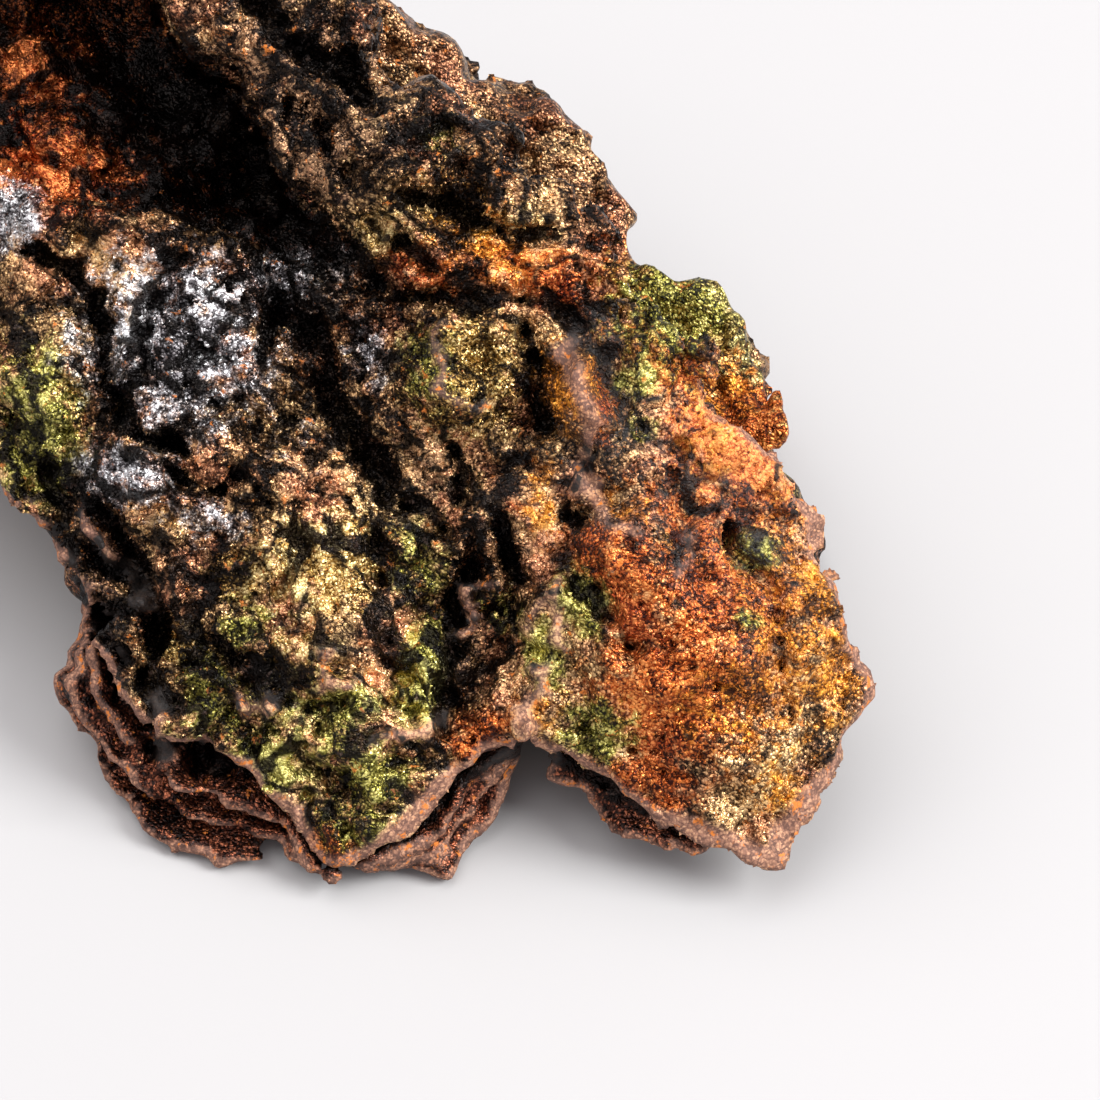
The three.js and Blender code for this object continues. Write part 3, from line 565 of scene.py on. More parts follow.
def plainForm(part, a, b, c, roll):
    # Below 0 inside that part of the stone, with what its surface is made of there. The roll lifts and
    # lowers every sheet as a whole, so that even a thin one keeps its thickness.
    x, y, z = toWorld(a, b, c)
    centre = crust["centre"]
    aboveCrust = c - onCrust("crustTop", a, b) + roll
    aboveShoulder = c - onCrust("shoulderTop", a, b) + roll
    front = onCrust("front", a, b)
    along = body["beddingAlong"]
    ledge = body["beddingDepth"] * noise(a / along, b / along, c / body["beddingLayer"])
    crustEdge = onCrust("crust", a, b) - ledge * clamp01(-aboveCrust / body["beddingLayer"]) + roll
    shoulderEdge = onCrust("shoulder", a, b) - ledge + roll
    lowEdge = onCrust("lowLedge", a, b) + roll
    older = np.zeros(a.shape, np.float32)

    if part == "crust":
        rim = body["backThickness"] + front * (body["rimThickness"] - body["backThickness"])
        thickness = rim - body["rimTaper"] * crustEdge
        thickness = np.clip(thickness, body["rimThickness"], body["crustThickness"])
        surface, fracture = plate(crustEdge, aboveCrust, thickness, front * body["rimBevel"])
        fracture = fracture * front * smoothStep(2 - crustEdge)
    else:
        surface, fracture = plate(shoulderEdge, aboveShoulder, body["shoulderThickness"])
        fracture = 0 * fracture
        rimHeight = np.minimum(body["ledgeHeight"], z / axisC[2] - aboveCrust)
        curl = body["ledgeCurl"] * np.maximum(rimHeight, 0) / body["ledgeHeight"]
        below = body["coreBelowCrust"]
        buried = below * smoothStep((-crustEdge - body["coreInset"]) / below)
        olderSheets = [(onCrust("lobeLedge", a, b) + roll, body["lobeDrop"], body["lobeThickness"])]
        for out, down, thin in body["ledges"]:
            stepDown = down * np.maximum(rimHeight - body["ledgeLift"], 0)
            olderSheets.append((crustEdge + out * (lowEdge - crustEdge), stepDown, thin))
        for edge, drop, thin in olderSheets:
            sunk = drop + curl * smoothStep(-edge / body["ledgeRim"] - 0.2) + buried
            sheet, broken = plate(edge, aboveCrust + sunk, thin, body["ledgeBevel"])
            nearer = sheet < surface
            fracture = np.where(nearer, broken, fracture)
            older = np.where(nearer, 1, older)
            surface = np.where(nearer, sheet, surface)
        flare = np.minimum(body["coreFlare"] * np.maximum(z, 0), body["coreFlareLimit"])
        foot = lookUp(groundSheet, groundLow, x - centre[0], y - centre[1]) - flare - ledge + roll
        lowest = aboveCrust + body["ledges"][-1][1] * rimHeight
        coreTop = np.where(shoulderEdge < -body["coreInset"], aboveShoulder, lowest + curl)
        coreTop = np.where(crustEdge < -body["coreInset"], aboveCrust + below, coreTop)
        rims = np.minimum(np.minimum(crustEdge, shoulderEdge), lowEdge) + body["coreInset"]
        core = np.maximum(np.maximum(foot, coreTop + body["coreDepth"]), rims)
        fracture = np.where(core < surface, 0, fracture)
        older = np.where(core < surface, 0.5, older)
        surface = np.minimum(core, surface)
    for at, reach in undercuts:
        away = [(t - middle) / half for t, middle, half in zip((a, b, c), at, reach)]
        surface = np.maximum(surface, (1 - np.sqrt(sum(t ** 2 for t in away))) * min(reach) + roll)
    return {"surface": surface, "aboveCrust": aboveCrust, "aboveShoulder": aboveShoulder,
            "fracture": fracture, "older": older}


def aboveGround(a, b, c, surface):
    x, y, z = toWorld(a, b, c)
    centre = crust["centre"]
    wave = body["dipWave"]
    dips = noise((x - centre[0]) / wave, (y - centre[1]) / wave, 0)
    return np.maximum(surface, np.maximum(0, dips) * body["dipHeight"] - z)


def cellBumps(plan, a, b, c):
    # How far a pattern of cells sinks the surface, and how far its cracks do
    near, far, own = cellPattern(a / plan["wave"], b / plan["wave"], c / plan["wave"], plan["seed"])
    bumps = plan["dome"] * (near ** 2 - 0.3) + plan["step"] * (own - 0.5)  # about 0 on average
    return bumps, plan["depth"] * smoothStep(1 - (far - near) / plan["crack"])


def reliefAt(a, b, c, form):
    # How far plates, lumps and knobs sink the surface, their crevices alone, and the field of the pits
    nearTop = nearSheet(form["aboveCrust"], nearCrust["relief"])
    least = relief["leastSpongy"]
    spongy = least + (1 - least) * onCrust("spongyZone", a, b) * nearTop
    calm = onCrust("calmZone", a, b) * nearTop
    strength = (1 - relief["brokenCalm"] * form["fracture"]) * (1 - (1 - relief["calmShare"]) * calm)
    strength *= 1 - (1 - relief["ledgeShare"]) * form["older"]
    strength *= 1 - (1 - relief["shoulderShare"]) * nearSheet(form["aboveShoulder"], nearShoulder)
    wa, wb, wc = a, b, c
    for n, (wave, reach) in enumerate(relief["warp"]):
        shift = 11 * n
        wa = wa + reach * noise(a / wave + 11 + shift, b / wave, c / wave)
        wb = wb + reach * noise(a / wave, b / wave + 23 + shift, c / wave)
        wc = wc + reach * noise(a / wave, b / wave, c / wave + 37 + shift)
    wave = relief["oftenWave"]
    often = 0.5 + 0.5 * noise(wa / wave, wb / wave, wc / wave + 61)

    bumps, crevice = cellBumps(relief["plate"], wa, wb, wc)
    crevice *= often
    alongA, alongB = relief["lump"]["along"]
    lengthwise = (wa * alongA + wb * alongB) / relief["lump"]["stretch"]
    lumps, cracks = cellBumps(relief["lump"], lengthwise, wa * alongB - wb * alongA, wc)
    bumps += lumps
    crevice += (1 - often) * cracks
    knobs, cracks = cellBumps(relief["knob"], wa, wb, wc)
    share = relief["smoothKnobs"] + (relief["spongyKnobs"] - relief["smoothKnobs"]) * spongy
    bumps += share * knobs
    crevice += share * cracks
    plan = relief["grain"]
    bumps += plan["height"] * noise(a / plan["wave"], b / plan["wave"], c / plan["wave"])

    plan = relief["pit"]
    wave = plan["wave"]
    hole = noise(wa / wave, wb / wave, wc / wave)
    hole = hole + plan["fine"] * noise(2 * a / wave, 2 * b / wave, 2 * c / wave)
    pit = plan["slope"] * wave * (hole - plan["rare"] + plan["spongy"] * spongy)
    pit = pit - plan["calm"] * form["fracture"] - plan["calm"] * calm
    bumps -= relief["lift"]
    return (bumps + crevice) * strength, crevice * strength, pit, plan["depth"] * spongy


def withRelief(part, a, b, c, roll, form):
    # The finished form, how low its lumps leave it, and how deep it lies in a crevice or a pit
    sunk, crevice, pit, deepest = reliefAt(a, b, c, form)
    finished = plainForm(part, a, b, c, roll + sunk)["surface"]
    pitted = np.maximum(finished, np.minimum(pit, finished + deepest))
    return pitted, sunk - crevice, crevice + relief["pit"]["shade"] * (pitted - finished)


# Each part of the stone is sampled on a grid, coarsely at first to find where its surface runs

def samplePart(part, cell):
    coarse = 4
    counts = [int((crust["high"][n] - crust["low"][n]) / cell / coarse) * coarse for n in range(3)]
    spans = [crust["low"][n] + cell * np.arange(counts[n]) for n in range(3)]
    middles = [span[coarse // 2::coarse] for span in spans]
    a, b, c = (t.ravel() for t in np.meshgrid(*middles, indexing="ij"))
    rough = aboveGround(a, b, c, plainForm(part, a, b, c, rollAt(a, b, c))["surface"])
    rough = rough.reshape([count // coarse for count in counts])
    for axis in range(3):
        rough = np.repeat(rough, coarse, axis=axis)
    values = np.where(rough < 0, -cell, cell).astype(np.float32)
    i, j, k = np.nonzero(np.abs(rough) < relief["band"] + cell * coarse)
    a, b, c = spans[0][i], spans[1][j], spans[2][k]
    roll = rollAt(a, b, c)
    form = plainForm(part, a, b, c, roll)
    surface = form["surface"]
    near = np.abs(surface) < relief["band"]
    nearForm = {name: field[near] for name, field in form.items()}
    surface[near] = withRelief(part, a[near], b[near], c[near], roll[near], nearForm)[0]
    values[i, j, k] = aboveGround(a, b, c, surface)
    for axis in range(3):
        border = np.moveaxis(values, axis, 0)
        border[0] = border[-1] = cell
    return values


def bluntSpikes(values):
    # Takes off what is thinner than the grid can hold, and leaves the crevices sharp
    blurred = values.copy()
    for axis in range(3):
        along = np.moveaxis(blurred, axis, 0)
        along[1:-1] = (along[:-2] + 2 * along[1:-1] + along[2:]) / 4
    np.maximum(values, blurred, out=values)


cornerSteps = [(n & 1, n >> 1 & 1, n >> 2) for n in range(8)]
cellFaces = ((0, 1, 3, 2), (4, 5, 7, 6), (0, 1, 5, 4), (2, 3, 7, 6), (0, 2, 6, 4), (1, 3, 7, 5))


def cornersOf(values):
    nx, ny, nz = values.shape
    return [values[i:nx - 1 + i, j:ny - 1 + j, k:nz - 1 + k] for i, j, k in cornerSteps]


def fillPinches(values, cell):
    # Cells where stone meets stone only along an edge or at a corner are filled, until none is left
    justInside = -0.05 * cell
    for _ in range(12):
        inside = cornersOf(values < 0)
        filled = sum(corner.astype(np.int8) for corner in inside)
        pinched = np.zeros(filled.shape, bool)
        for p, q, r, s in cellFaces:
            pinched |= (inside[p] == inside[r]) & (inside[q] == inside[s]) & (inside[p] != inside[q])
        for n in range(4):
            same = inside[n] == inside[7 - n]
            pinched |= same & (filled == np.where(inside[n], 2, 6))
        if not pinched.any():
            break
        for corner in cornersOf(values):
            corner[pinched] = np.minimum(corner[pinched], justInside)


def surfaceNet(values):
    # One vertex in each cell that the surface crosses, one quad for each crossed grid edge
    inside = values < 0
    corners = cornersOf(inside)
    filled = sum(corner.astype(np.int8) for corner in corners)
    cells = np.nonzero((filled > 0) & (filled < 8))
    corner = [values[cells[0] + i, cells[1] + j, cells[2] + k] for i, j, k in cornerSteps]
    total = np.zeros((len(cells[0]), 3), np.float32)
    crossings = np.zeros(len(cells[0]), np.float32)
    for n in range(8):
        for axis in range(3):
            if n >> axis & 1:
                continue
            low, high = corner[n], corner[n | 1 << axis]
            crossed = (low < 0) != (high < 0)
            share = np.where(crossed, low / np.where(crossed, low - high, 1), 0)
            place = np.tile(np.array(cornerSteps[n], np.float32), (len(low), 1))
            place[:, axis] += share
            total += place * crossed[:, None]
            crossings += crossed
    points = np.stack(cells, 1) + total / crossings[:, None]
    vertexOf = np.full(values.shape, -1, np.int32)
    vertexOf[cells] = np.arange(len(points))
    quads = []
    for axis in range(3):
        turned = np.moveaxis(inside, axis, 0)
        index = np.moveaxis(vertexOf, axis, 0)
        i, j, k = np.nonzero(turned[:-1, 1:-1, 1:-1] != turned[1:, 1:-1, 1:-1])
        j, k = j + 1, k + 1
        ring = np.stack([index[i, j - 1, k - 1], index[i, j, k - 1], index[i, j, k], index[i, j - 1, k]], 1)
        outward = turned[i, j, k] if axis != 1 else ~turned[i, j, k]
        quads.append(np.where(outward[:, None], ring, ring[:, ::-1]))
    return points, np.concatenate(quads)


def largestShell(points, quads):
    # Loose crumbs and sealed pores go
    label = np.arange(len(points))
    while True:
        low = label[quads].min(axis=1)
        spread = label.copy()
        np.minimum.at(spread, quads.ravel(), np.repeat(low, 4))
        spread = spread[spread]
        if (spread == label).all():
            break
        label = spread
    keep = label == np.bincount(label).argmax()
    renumber = np.cumsum(keep) - 1
    return points[keep], renumber[quads[keep[quads[:, 0]]]]


def makeMesh(name, points, faces):
    mesh = bpy.data.meshes.new(name)
    mesh.from_pydata(points.tolist(), [], faces.tolist(), shade_flat=False)
    mesh.validate()
    return mesh


def addObject(name, data):
    piece = bpy.data.objects.new(name, data)
    bpy.context.scene.collection.objects.link(piece)
    return piece


def applyModifiers(piece):
    # The evaluated result becomes the piece's own plain mesh
    depsgraph = bpy.context.evaluated_depsgraph_get()
    result = bpy.data.meshes.new_from_object(piece.evaluated_get(depsgraph))
    piece.modifiers.clear()
    piece.data = result
    return piece


def readPoints(mesh):
    points = np.empty(len(mesh.vertices) * 3, np.float32)
    mesh.vertices.foreach_get("co", points)
    return points.reshape(-1, 3)


partMesh = {
    "cell": {"crust": 0.36, "core": 0.46},
    "triangles": {"crust": 197000, "core": 190000},
    "covered": 2.4,  # mm inside the other part, where nothing shows
    "shownWeight": 0.98,  # what shows is thinned out later than what is covered, whose weight is 1
    "millimetre": 1e-3,
}


def makePart(part, otherPart):
    cell = partMesh["cell"][part]
    values = samplePart(part, cell)
    bluntSpikes(values)
    fillPinches(values, cell)
    points, quads = largestShell(*surfaceNet(values))
    a, b, c = (points * cell + np.array(crust["low"])).T
    x, y, z = toWorld(a, b, c)
    z = np.where(z < body["footHeight"], 0, z)
    print(part, "net:", len(points), "points,", len(quads), "quads")
    name = "goethite" + part.capitalize()
    piece = addObject(name, makeMesh(name, np.stack([x, y, z], 1), quads))
    decimate = piece.modifiers.new("thinOut", "DECIMATE")
    decimate.ratio = min(1, partMesh["triangles"][part] / (2 * len(quads)))
    decimate.use_collapse_triangulate = True
    covered = plainForm(otherPart, a, b, c, rollAt(a, b, c))["surface"] < -partMesh["covered"]
    hidden = piece.vertex_groups.new(name="covered")
    hidden.add(list(range(len(points))), partMesh["shownWeight"], "REPLACE")
    hidden.add(np.nonzero(covered)[0].tolist(), 1, "REPLACE")
    decimate.vertex_group = "covered"
    decimate.vertex_group_factor = 1
    return applyModifiers(piece)


marking = {
    "oliveBelow": (28, 8),  # the b below which the shoulder is olive, and how gradually
    "groove": 0.8,  # depth from which a groove is painted dark as shade
    "ledge": 3,  # painted shade on the older crusts under the younger one
    "silverSunk": (1.1, 0.4),
    "hollowShadow": 1.6,  # painted shadow in the deep of the hollow, under the crest
    "warmCalm": 0.45,  # less painted shade in the crevices where it is copper or ochre
    "leastDruse": 0.4,
}


def markZones(piece, part):
    # One attribute for each kind of surface, for the material to read
    x, y, z = readPoints(piece.data).T
    a, b, c = toCrust(x, y, z)
    roll = rollAt(a, b, c)
    form = plainForm(part, a, b, c, roll)
    onTop = nearSheet(form["aboveCrust"], nearCrust["top"])
    onShoulder = nearSheet(form["aboveShoulder"], nearShoulder) * (1 - onTop)
    onEither = np.maximum(onTop, onShoulder) * (1 - form["older"])
    marks = {name: onCrust(name + "Zone", a, b) * onEither for name in crustColours}
    marks["earthy"] = onCrust("earthyZone", a, b) * onTop
    olive, fade = marking["oliveBelow"]
    marks["shoulder"] = onShoulder * smoothStep((olive - b) / fade)
    # The hollow's colour carries painted shade, for the crest's shadow over it
    marks["hollow"] = onCrust("hollow", a, b)
    marks["older"] = form["older"]
    marks["massive"] = (1 - onTop) * (1 - onShoulder) * (1 - form["older"])
    marks["fracture"] = np.maximum(form["fracture"], wallTop["tint"] * onCrust("walls", a, b) * onTop)
    # The crevice mark is painted shade: crevices, pits, deep grooves, the deep of the hollow and the older
    # crusts under the younger one turn near black
    _, marks["sunk"], crevice = withRelief(part, a, b, c, roll, form)
    byCrust = nearSheet(form["aboveCrust"], nearCrust["grooves"])
    crevice = crevice + byCrust * np.maximum(onCrust("grooves", a, b) - marking["groove"], 0)
    # Painted shadow in the deep of the hollow
    crevice += marking["hollowShadow"] * onCrust("hollowShadowZone", a, b) * marks["hollow"]
    warm = np.maximum(marks["copper"], marks["ochre"])
    crevice *= 1 - marking["warmCalm"] * clamp01(warm)
    onLedge = clamp01(2 * form["older"] - 1)
    marks["crevice"] = crevice + marking["ledge"] * onLedge * smoothStep(-onCrust("crust", a, b) / 2)
    most, share = marking["silverSunk"]
    marks["silver"] *= clamp01(most - share * marks["sunk"])
    drusy = np.maximum(onCrust("spongyZone", a, b), np.maximum(marks["silver"], marks["gilt"]))
    least = marking["leastDruse"]
    marks["druse"] = onEither * (1 - marks["fracture"]) * (least + (1 - least) * drusy)
    for name, mark in marks.items():
        layer = piece.data.attributes.new(name, "FLOAT", "POINT")
        layer.data.foreach_set("value", mark.astype(np.float32))


def toMetres(piece):
    points = readPoints(piece.data) * partMesh["millimetre"]
    piece.data.vertices.foreach_set("co", points.ravel())
    piece.data.update()


def sRgb(code):
    # A hex colour as Blender's linear values
    parts = [int(code[n:n + 2], 16) / 255 for n in (1, 3, 5)]
    return tuple(p / 12.92 if p < 0.04045 else ((p + 0.055) / 1.055) ** 2.4 for p in parts) + (1,)


def addNode(tree, kind, settings=None, links=None):
    # A node given as a source stands for its first output
    node = tree.nodes.new(kind)
    for name, value in (settings or {}).items():
        if isinstance(name, str) and hasattr(node, name):
            setattr(node, name, value)
        else:
            node.inputs[name].default_value = value
    for socket, source in (links or {}).items():
        output = source.outputs[0] if isinstance(source, bpy.types.Node) else source
        tree.links.new(output, node.inputs[socket])
    return node


stoneParts = []
for part, otherPart in (("crust", "core"), ("core", "crust")):
    piece = makePart(part, otherPart)
    markZones(piece, part)
    toMetres(piece)
    stoneParts.append(piece)
    print(part, "made:", len(piece.data.polygons), "triangles")


def makeMaterial(name):
    material = bpy.data.materials.new(name)
    material.use_nodes = True
    material.node_tree.nodes.clear()
    return material


# Iridescent goethite: a drusy crust of tiny submetallic crystals under a film of tarnish. Every grain
# glints, green to gold to copper, and it is dull and red-brown where it broke. Painted shade makes the
# crevices, pits, hollow and crest near black, and painted glints lighten some grains.
goethiteFinish = {
    # Each kind's dark, middle and light colour, which the painted light and shade of the level choose
    # between
    "shades": {
        "bronze": ("#1c130b", "#7e6040", "#ecc48a"),
        "umber": ("#1a0f09", "#744832", "#dca076"),
        "gilt": ("#241a0a", "#a68242", "#fce4a0"),
        "copper": ("#300e05", "#ac5220", "#f09c54"),
        "rust": ("#280a05", "#943c18", "#e08448"),
        "ochre": ("#4a2a0e", "#bc741e", "#f4b048"),
        "green": ("#1c1c0e", "#7c762e", "#e0d880"),
        "silver": ("#1a181a", "#8a8688", "#fcfeff"),
        # painted shade: dark colours for where shade falls on the crest and elsewhere
        "paintedShade": ("#060302", "#32221a", "#a07c5c"),
        "shoulder": ("#1c180c", "#807440", "#d0be80"),
        # painted shade: the hollow's red-brown darkened to stand in for the crest's shadow
        "hollow": ("#040201", "#1c0d07", "#643218"),
        "older": ("#0a0403", "#3e2016", "#a05e42"),
        "massive": ("#100906", "#4a3322", "#a07c5a"),
        "fracture": ("#5c3e32", "#8a624e", "#b88c6c"),
    },
    "layers": ("massive", "shoulder", "gilt", "copper", "hollow", "rust", "ochre", "green", "silver",
               "paintedShade", "older"),
    # painted shade: the near black of the crevices and pits
    "crevicePaintedShade": "#070403",
    "speckColour": "#c8701c",
    # Each texture's kind, the size of what it draws in mm, and its other settings
    "textures": {
        "blotch": ("Noise", 1.5, {"Detail": 5, "Roughness": 0.7}),
        "tone": ("Noise", 1.6, {"Detail": 4, "Roughness": 0.6}),
        "wide": ("Noise", 5, {"Detail": 3}),
        "specks": ("Noise", 1.1, {"Detail": 4, "Roughness": 0.7}),
        "wrinkle": ("Noise", 0.42, {"Detail": 1}),
        "foil": ("Noise", 0.5, {"noise_type": "RIDGED_MULTIFRACTAL", "Detail": 3, "Roughness": 0.5}),
        "grain": ("Voronoi", 0.24, {}),  # one crystal of the druse
    },
    "speckShift": (0.3, 0.1, 0.2),  # so that the specks don't follow the blotches
    "wrinkleReach": 0.36,  # mm by which the wrinkles draw the grains out
    "lightness": 0.2,
    # own is each grain's random lightness, partly painted glints; between paints shade between the grains;
    # sunk paints shade in recesses and light on the highs
    "lightnessShares": {"own": 0.6, "tone": 0.6, "between": -0.5, "sunk": -0.23},
    "raggedness": 2.2,  # how far the blotches break up the edge of a colour
    # Where each mark starts, where it is full and how much it then covers
    "level": (0.35, 1, 1),
    "wide": (0.4, 0.6, 1),
    "layer": (1.4, 1.8, 1),
    "speck": (0.62, 0.68, 0.85),
    # painted shade, from the crevice mark
    "pit": (0.55, 1.6, 0.96),
    "fractureSpecks": 0.04,  # more of them on the fractures
    "grainDepth": 0.09,
    "foilDepth": 0.14,
    "fractureBump": 0.3,
    "roughness": (0.26, 0.44),
    "dullRoughness": 0.8,
    "metallic": 0.85,
}


def makeGoethite():
    look = goethiteFinish
    material = makeMaterial("drusyGoethite")
    tree = material.node_tree
    place = addNode(tree, "ShaderNodeTexCoord").outputs["Object"]
    textures = {}
    for name, (kind, size, settings) in look["textures"].items():
        scaled = {**settings, "Scale": 1000 / size}
        textures[name] = addNode(tree, "ShaderNodeTex" + kind, scaled, {"Vector": place})
    reach = look["wrinkleReach"] / 1000
    drawn = addNode(tree, "ShaderNodeVectorMath", {"operation": "MULTIPLY_ADD", 1: (reach, reach, reach)},
                    {0: textures["wrinkle"].outputs["Color"], 2: place})
    tree.links.new(drawn.outputs[0], textures["grain"].inputs["Vector"])
    moved = addNode(tree, "ShaderNodeMapping", {"Location": look["speckShift"]}, {"Vector": place})
    tree.links.new(moved.outputs[0], textures["specks"].inputs["Vector"])
    marks = {}
    for name in look["layers"] + ("fracture", "earthy", "sunk", "crevice"):
        marks[name] = addNode(tree, "ShaderNodeAttribute", {"attribute_name": name}).outputs["Fac"]

    # Painted light and shade: lighter on the high grains, painted shade in the hollows and between the
    # grains, and each grain a little different, the lightest partly painted glints
    own = addNode(tree, "ShaderNodeSeparateColor", None, {"Color": textures["grain"].outputs["Color"]})
    sources = {"own": own.outputs["Red"], "between": textures["grain"], **textures, **marks}
    level = addNode(tree, "ShaderNodeValue")
    level.outputs[0].default_value = look["lightness"]
    for name, share in look["lightnessShares"].items():
        level = addNode(tree, "ShaderNodeMath", {"operation": "MULTIPLY_ADD", 1: share},
                        {0: sources[name], 2: level})

    ranges = {}
    for name in ("level", "wide", "layer", "speck", "pit"):
        start, full, most = look[name]
        ranges[name] = {"From Min": start, "From Max": full, "To Max": most}
    mapRange, mixer, maths = "ShaderNodeMapRange", "ShaderNodeMix", "ShaderNodeMath"
    level = addNode(tree, mapRange, ranges["level"], {"Value": level})
    shades = {}
    for name, codes in look["shades"].items():
        ramp = addNode(tree, "ShaderNodeValToRGB", None, {"Fac": level})
        for n, code in enumerate(codes):
            stop = ramp.color_ramp.elements[n] if n < 2 else ramp.color_ramp.elements.new(1)
            stop.position = n / 2
            stop.color = sRgb(code)
        shades[name] = ramp

    wide = addNode(tree, mapRange, ranges["wide"], {"Value": textures["wide"]})
    colour = addNode(tree, mixer, {"data_type": "RGBA"},
                     {0: wide, 6: shades["bronze"], 7: shades["umber"]}).outputs[2]
    for name in look["layers"]:
        ragged = addNode(tree, maths, {"operation": "MULTIPLY_ADD", 1: look["raggedness"]},
                         {0: textures["blotch"], 2: marks[name]})
        share = addNode(tree, mapRange, ranges["layer"], {"Value": ragged})
        colour = addNode(tree, mixer, {"data_type": "RGBA"},
                         {0: share, 6: colour, 7: shades[name]}).outputs[2]

    specks = addNode(tree, maths, {"operation": "MULTIPLY_ADD", 1: look["fractureSpecks"]},
                     {0: marks["fracture"], 2: textures["specks"]})
    speck = addNode(tree, mapRange, ranges["speck"], {"Value": specks})
    # Painted shade: the crevice mark darkens the colour to near black
    pit = addNode(tree, mapRange, ranges["pit"], {"Value": marks["crevice"]})
    colour = addNode(tree, mixer, {"data_type": "RGBA"},
                     {0: marks["fracture"], 6: colour, 7: shades["fracture"]}).outputs[2]
    for share, code in ((speck, look["speckColour"]), (pit, look["crevicePaintedShade"])):
        colour = addNode(tree, mixer, {"data_type": "RGBA", 7: sRgb(code)},
                         {0: share, 6: colour}).outputs[2]

    # Crumpled like foil between the grains
    height = addNode(tree, maths, {"operation": "MULTIPLY_ADD", 1: -look["grainDepth"] / look["foilDepth"]},
                     {0: textures["grain"], 2: textures["foil"]})
    crisp = addNode(tree, mapRange, {"To Min": 1, "To Max": look["fractureBump"]},
                    {"Value": marks["fracture"]})
    bump = addNode(tree, "ShaderNodeBump", {"Distance": look["foilDepth"] / 1000},
                   {"Height": height, "Strength": crisp})
    dull = speck
    for name in ("fracture", "earthy"):
        dull = addNode(tree, maths, {"operation": "MAXIMUM"}, {0: marks[name], 1: dull})
    low, high = look["roughness"]
    sheen = addNode(tree, mapRange, {"To Min": low, "To Max": high}, {"Value": textures["tone"]})
    rough = addNode(tree, mixer, {3: look["dullRoughness"]}, {0: dull, 2: sheen})
    metal = addNode(tree, mapRange, {"To Min": look["metallic"], "To Max": 0}, {"Value": dull})
    surface = {"Base Color": colour, "Roughness": rough, "Metallic": metal, "Normal": bump}
    shader = addNode(tree, "ShaderNodeBsdfPrincipled", None, surface)
    addNode(tree, "ShaderNodeOutputMaterial", None, {"Surface": shader})
    return material


goethite = makeGoethite()
for piece in stoneParts:
    piece.data.materials.append(goethite)
    piece.data.shade_smooth()

# The druse: small blunt crystals strewn over the crust, thickest where it is spongy or glitters
druse = {
    "perSquareMillimetre": 2.6,
    "width": 0.34,
    "height": 0.26,
    "sides": 5,
    "bedded": 0.35,  # share of a crystal's height below the crust
    "scale": (0.6, 1.5),
    "lean": 0.6,  # most that a crystal leans, in radians
    # Each piece's seed, and how much larger its crystals are
    "pieces": {"druseFine": (4, 1), "druseCoarse": (9, 1.4)},
}


def makeScatter():
    tree = bpy.data.node_groups.new("crystalScatter", "GeometryNodeTree")
    sockets = {"Crust": "Geometry", "Crystals per area": "Float", "Width": "Float", "Height": "Float",
               "Sides": "Int", "Seed": "Int", "Finish": "Material"}
    for socket, kind in sockets.items():
        tree.interface.new_socket(socket, in_out="INPUT", socket_type="NodeSocket" + kind)
    tree.interface.new_socket("Crystals", in_out="OUTPUT", socket_type="NodeSocketGeometry")
    given = addNode(tree, "NodeGroupInput").outputs
    share = addNode(tree, "GeometryNodeInputNamedAttribute", {"data_type": "FLOAT", "Name": "druse"})
    density = addNode(tree, "ShaderNodeMath", {"operation": "MULTIPLY"},
                      {0: given["Crystals per area"], 1: share})
    points = addNode(tree, "GeometryNodeDistributePointsOnFaces", None,
                     {"Mesh": given["Crust"], "Density": density, "Seed": given["Seed"]})
    cone = addNode(tree, "GeometryNodeMeshCone", {"Radius Top": 0},
                   {"Vertices": given["Sides"], "Radius Bottom": given["Width"], "Depth": given["Height"]})
    sink = addNode(tree, "ShaderNodeMath", {"operation": "MULTIPLY", 1: -druse["bedded"]},
                   {0: given["Height"]})
    down = addNode(tree, "ShaderNodeCombineXYZ", None, {"Z": sink})
    bedded = addNode(tree, "GeometryNodeTransform", None, {"Geometry": cone, "Translation": down})
    most = druse["lean"]
    lean = addNode(tree, "FunctionNodeRandomValue",
                   {"data_type": "FLOAT_VECTOR", 0: (-most, -most, -math.pi), 1: (most, most, math.pi)},
                   {"Seed": given["Seed"]})
    turned = addNode(tree, "FunctionNodeRotateRotation", {"rotation_space": "LOCAL"},
                     {"Rotation": points.outputs["Rotation"], "Rotate By": lean})
    small, large = druse["scale"]
    size = addNode(tree, "FunctionNodeRandomValue", {"data_type": "FLOAT", 2: small, 3: large},
                   {"Seed": given["Seed"]})
    crystals = addNode(tree, "GeometryNodeInstanceOnPoints", None,
                       {"Points": points, "Instance": bedded,
                        "Rotation": turned, "Scale": size.outputs[1]})
    whole = addNode(tree, "GeometryNodeRealizeInstances", None, {"Geometry": crystals})
    finished = addNode(tree, "GeometryNodeSetMaterial", None,
                       {"Geometry": whole, "Material": given["Finish"]})
    addNode(tree, "NodeGroupOutput", None, {"Crystals": finished})
    return tree


def makeDruse(name, scatter, surface):
    piece = addObject(name, surface.data)
    modifier = piece.modifiers.new("crystals", "NODES")
    modifier.node_group = scatter
    seed, larger = druse["pieces"][name]
    values = {
        "Crystals per area": druse["perSquareMillimetre"] * 1e6,
        "Width": druse["width"] / 2 * larger * partMesh["millimetre"],
        "Height": druse["height"] * larger * partMesh["millimetre"],
        "Sides": druse["sides"],
        "Seed": seed,
        "Finish": goethite,
    }
    for socket in scatter.interface.items_tree:
        if socket.name in values:
            modifier[socket.identifier] = values[socket.name]
    return applyModifiers(piece)


scatter = makeScatter()
for name in druse["pieces"]:
    stoneParts.append(makeDruse(name, scatter, stoneParts[0]))
    print(name, "made:", len(stoneParts[-1].data.polygons), "faces")

for piece in stoneParts:
    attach(piece, "root")
    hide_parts("goethite")

# The studio: a sheet of pale card, a key light from the upper right, a wide soft one overhead and soft
# white walls all round

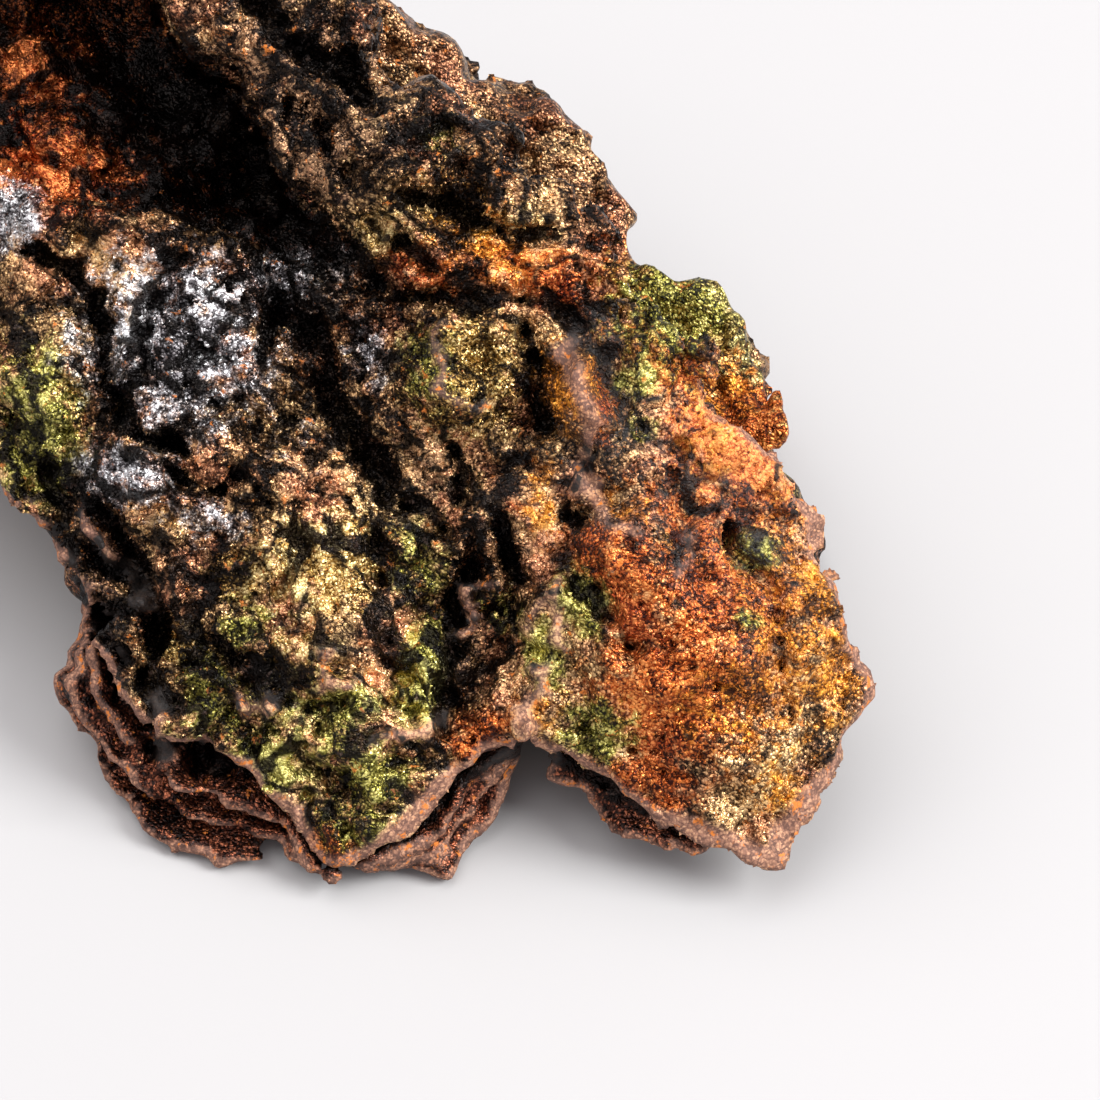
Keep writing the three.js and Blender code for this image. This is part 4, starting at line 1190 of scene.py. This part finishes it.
studio = {
    "cameraRise": 50,  # degrees above the ground
    "cameraDistance": 480,
    "viewWidth": 88,  # mm across the frame at the crust
    "cardSize": 3,
    "cardColour": "#a2a2a2",
    "cardRoughness": 0.9,
    # Where each light comes from, and its distance, size and power
    "lights": {"key": ((0.8, -0.2, 0.7), 2, 1, 66), "fill": ((-0.35, 0.1, 0.95), 2.2, 2.6, 56)},
    "wallStrength": 0.8,
    "wallColour": (1.05, 0.96, 1, 1),  # a little pink, as light off card is
}


def aim(piece, direction):
    piece.rotation_euler = Vector(direction).to_track_quat("-Z", "Y").to_euler()


def makeCamera():
    rise = math.radians(studio["cameraRise"])
    back = Vector((0, -math.cos(rise), math.sin(rise)))
    camera = addObject("camera", bpy.data.cameras.new("camera"))
    camera.location = (Vector(crust["centre"]) + back * studio["cameraDistance"]) / 1000
    aim(camera, -back)
    camera.data.sensor_width = 36
    camera.data.lens = 36 * studio["cameraDistance"] / studio["viewWidth"]
    bpy.context.scene.camera = camera


def makeCard():
    half = studio["cardSize"] / 2
    corners = np.array([(-half, -half, 0), (half, -half, 0), (half, half, 0), (-half, half, 0)])
    card = addObject("card", makeMesh("card", corners, np.array([[0, 1, 2, 3]])))
    material = makeMaterial("matteCard")  # pale matt card, with no gloss
    tree = material.node_tree
    shader = addNode(tree, "ShaderNodeBsdfPrincipled",
                     {"Base Color": sRgb(studio["cardColour"]), "Roughness": studio["cardRoughness"]})
    addNode(tree, "ShaderNodeOutputMaterial", None, {"Surface": shader})
    card.data.materials.append(material)


def makeLights():
    for name, (start, distance, size, power) in studio["lights"].items():
        light = addObject(name, bpy.data.lights.new(name, "AREA"))
        light.data.energy = power
        light.data.size = size
        direction = Vector(start).normalized()
        light.location = direction * distance
        aim(light, -direction)
    world = bpy.data.worlds.new("walls")
    world.use_nodes = True
    walls = world.node_tree.nodes["Background"].inputs
    walls["Color"].default_value = studio["wallColour"]
    walls["Strength"].default_value = studio["wallStrength"]
    bpy.context.scene.world = world


makeCamera()
makeCard()
makeLights()
bpy.context.scene.view_settings.view_transform = "Standard"
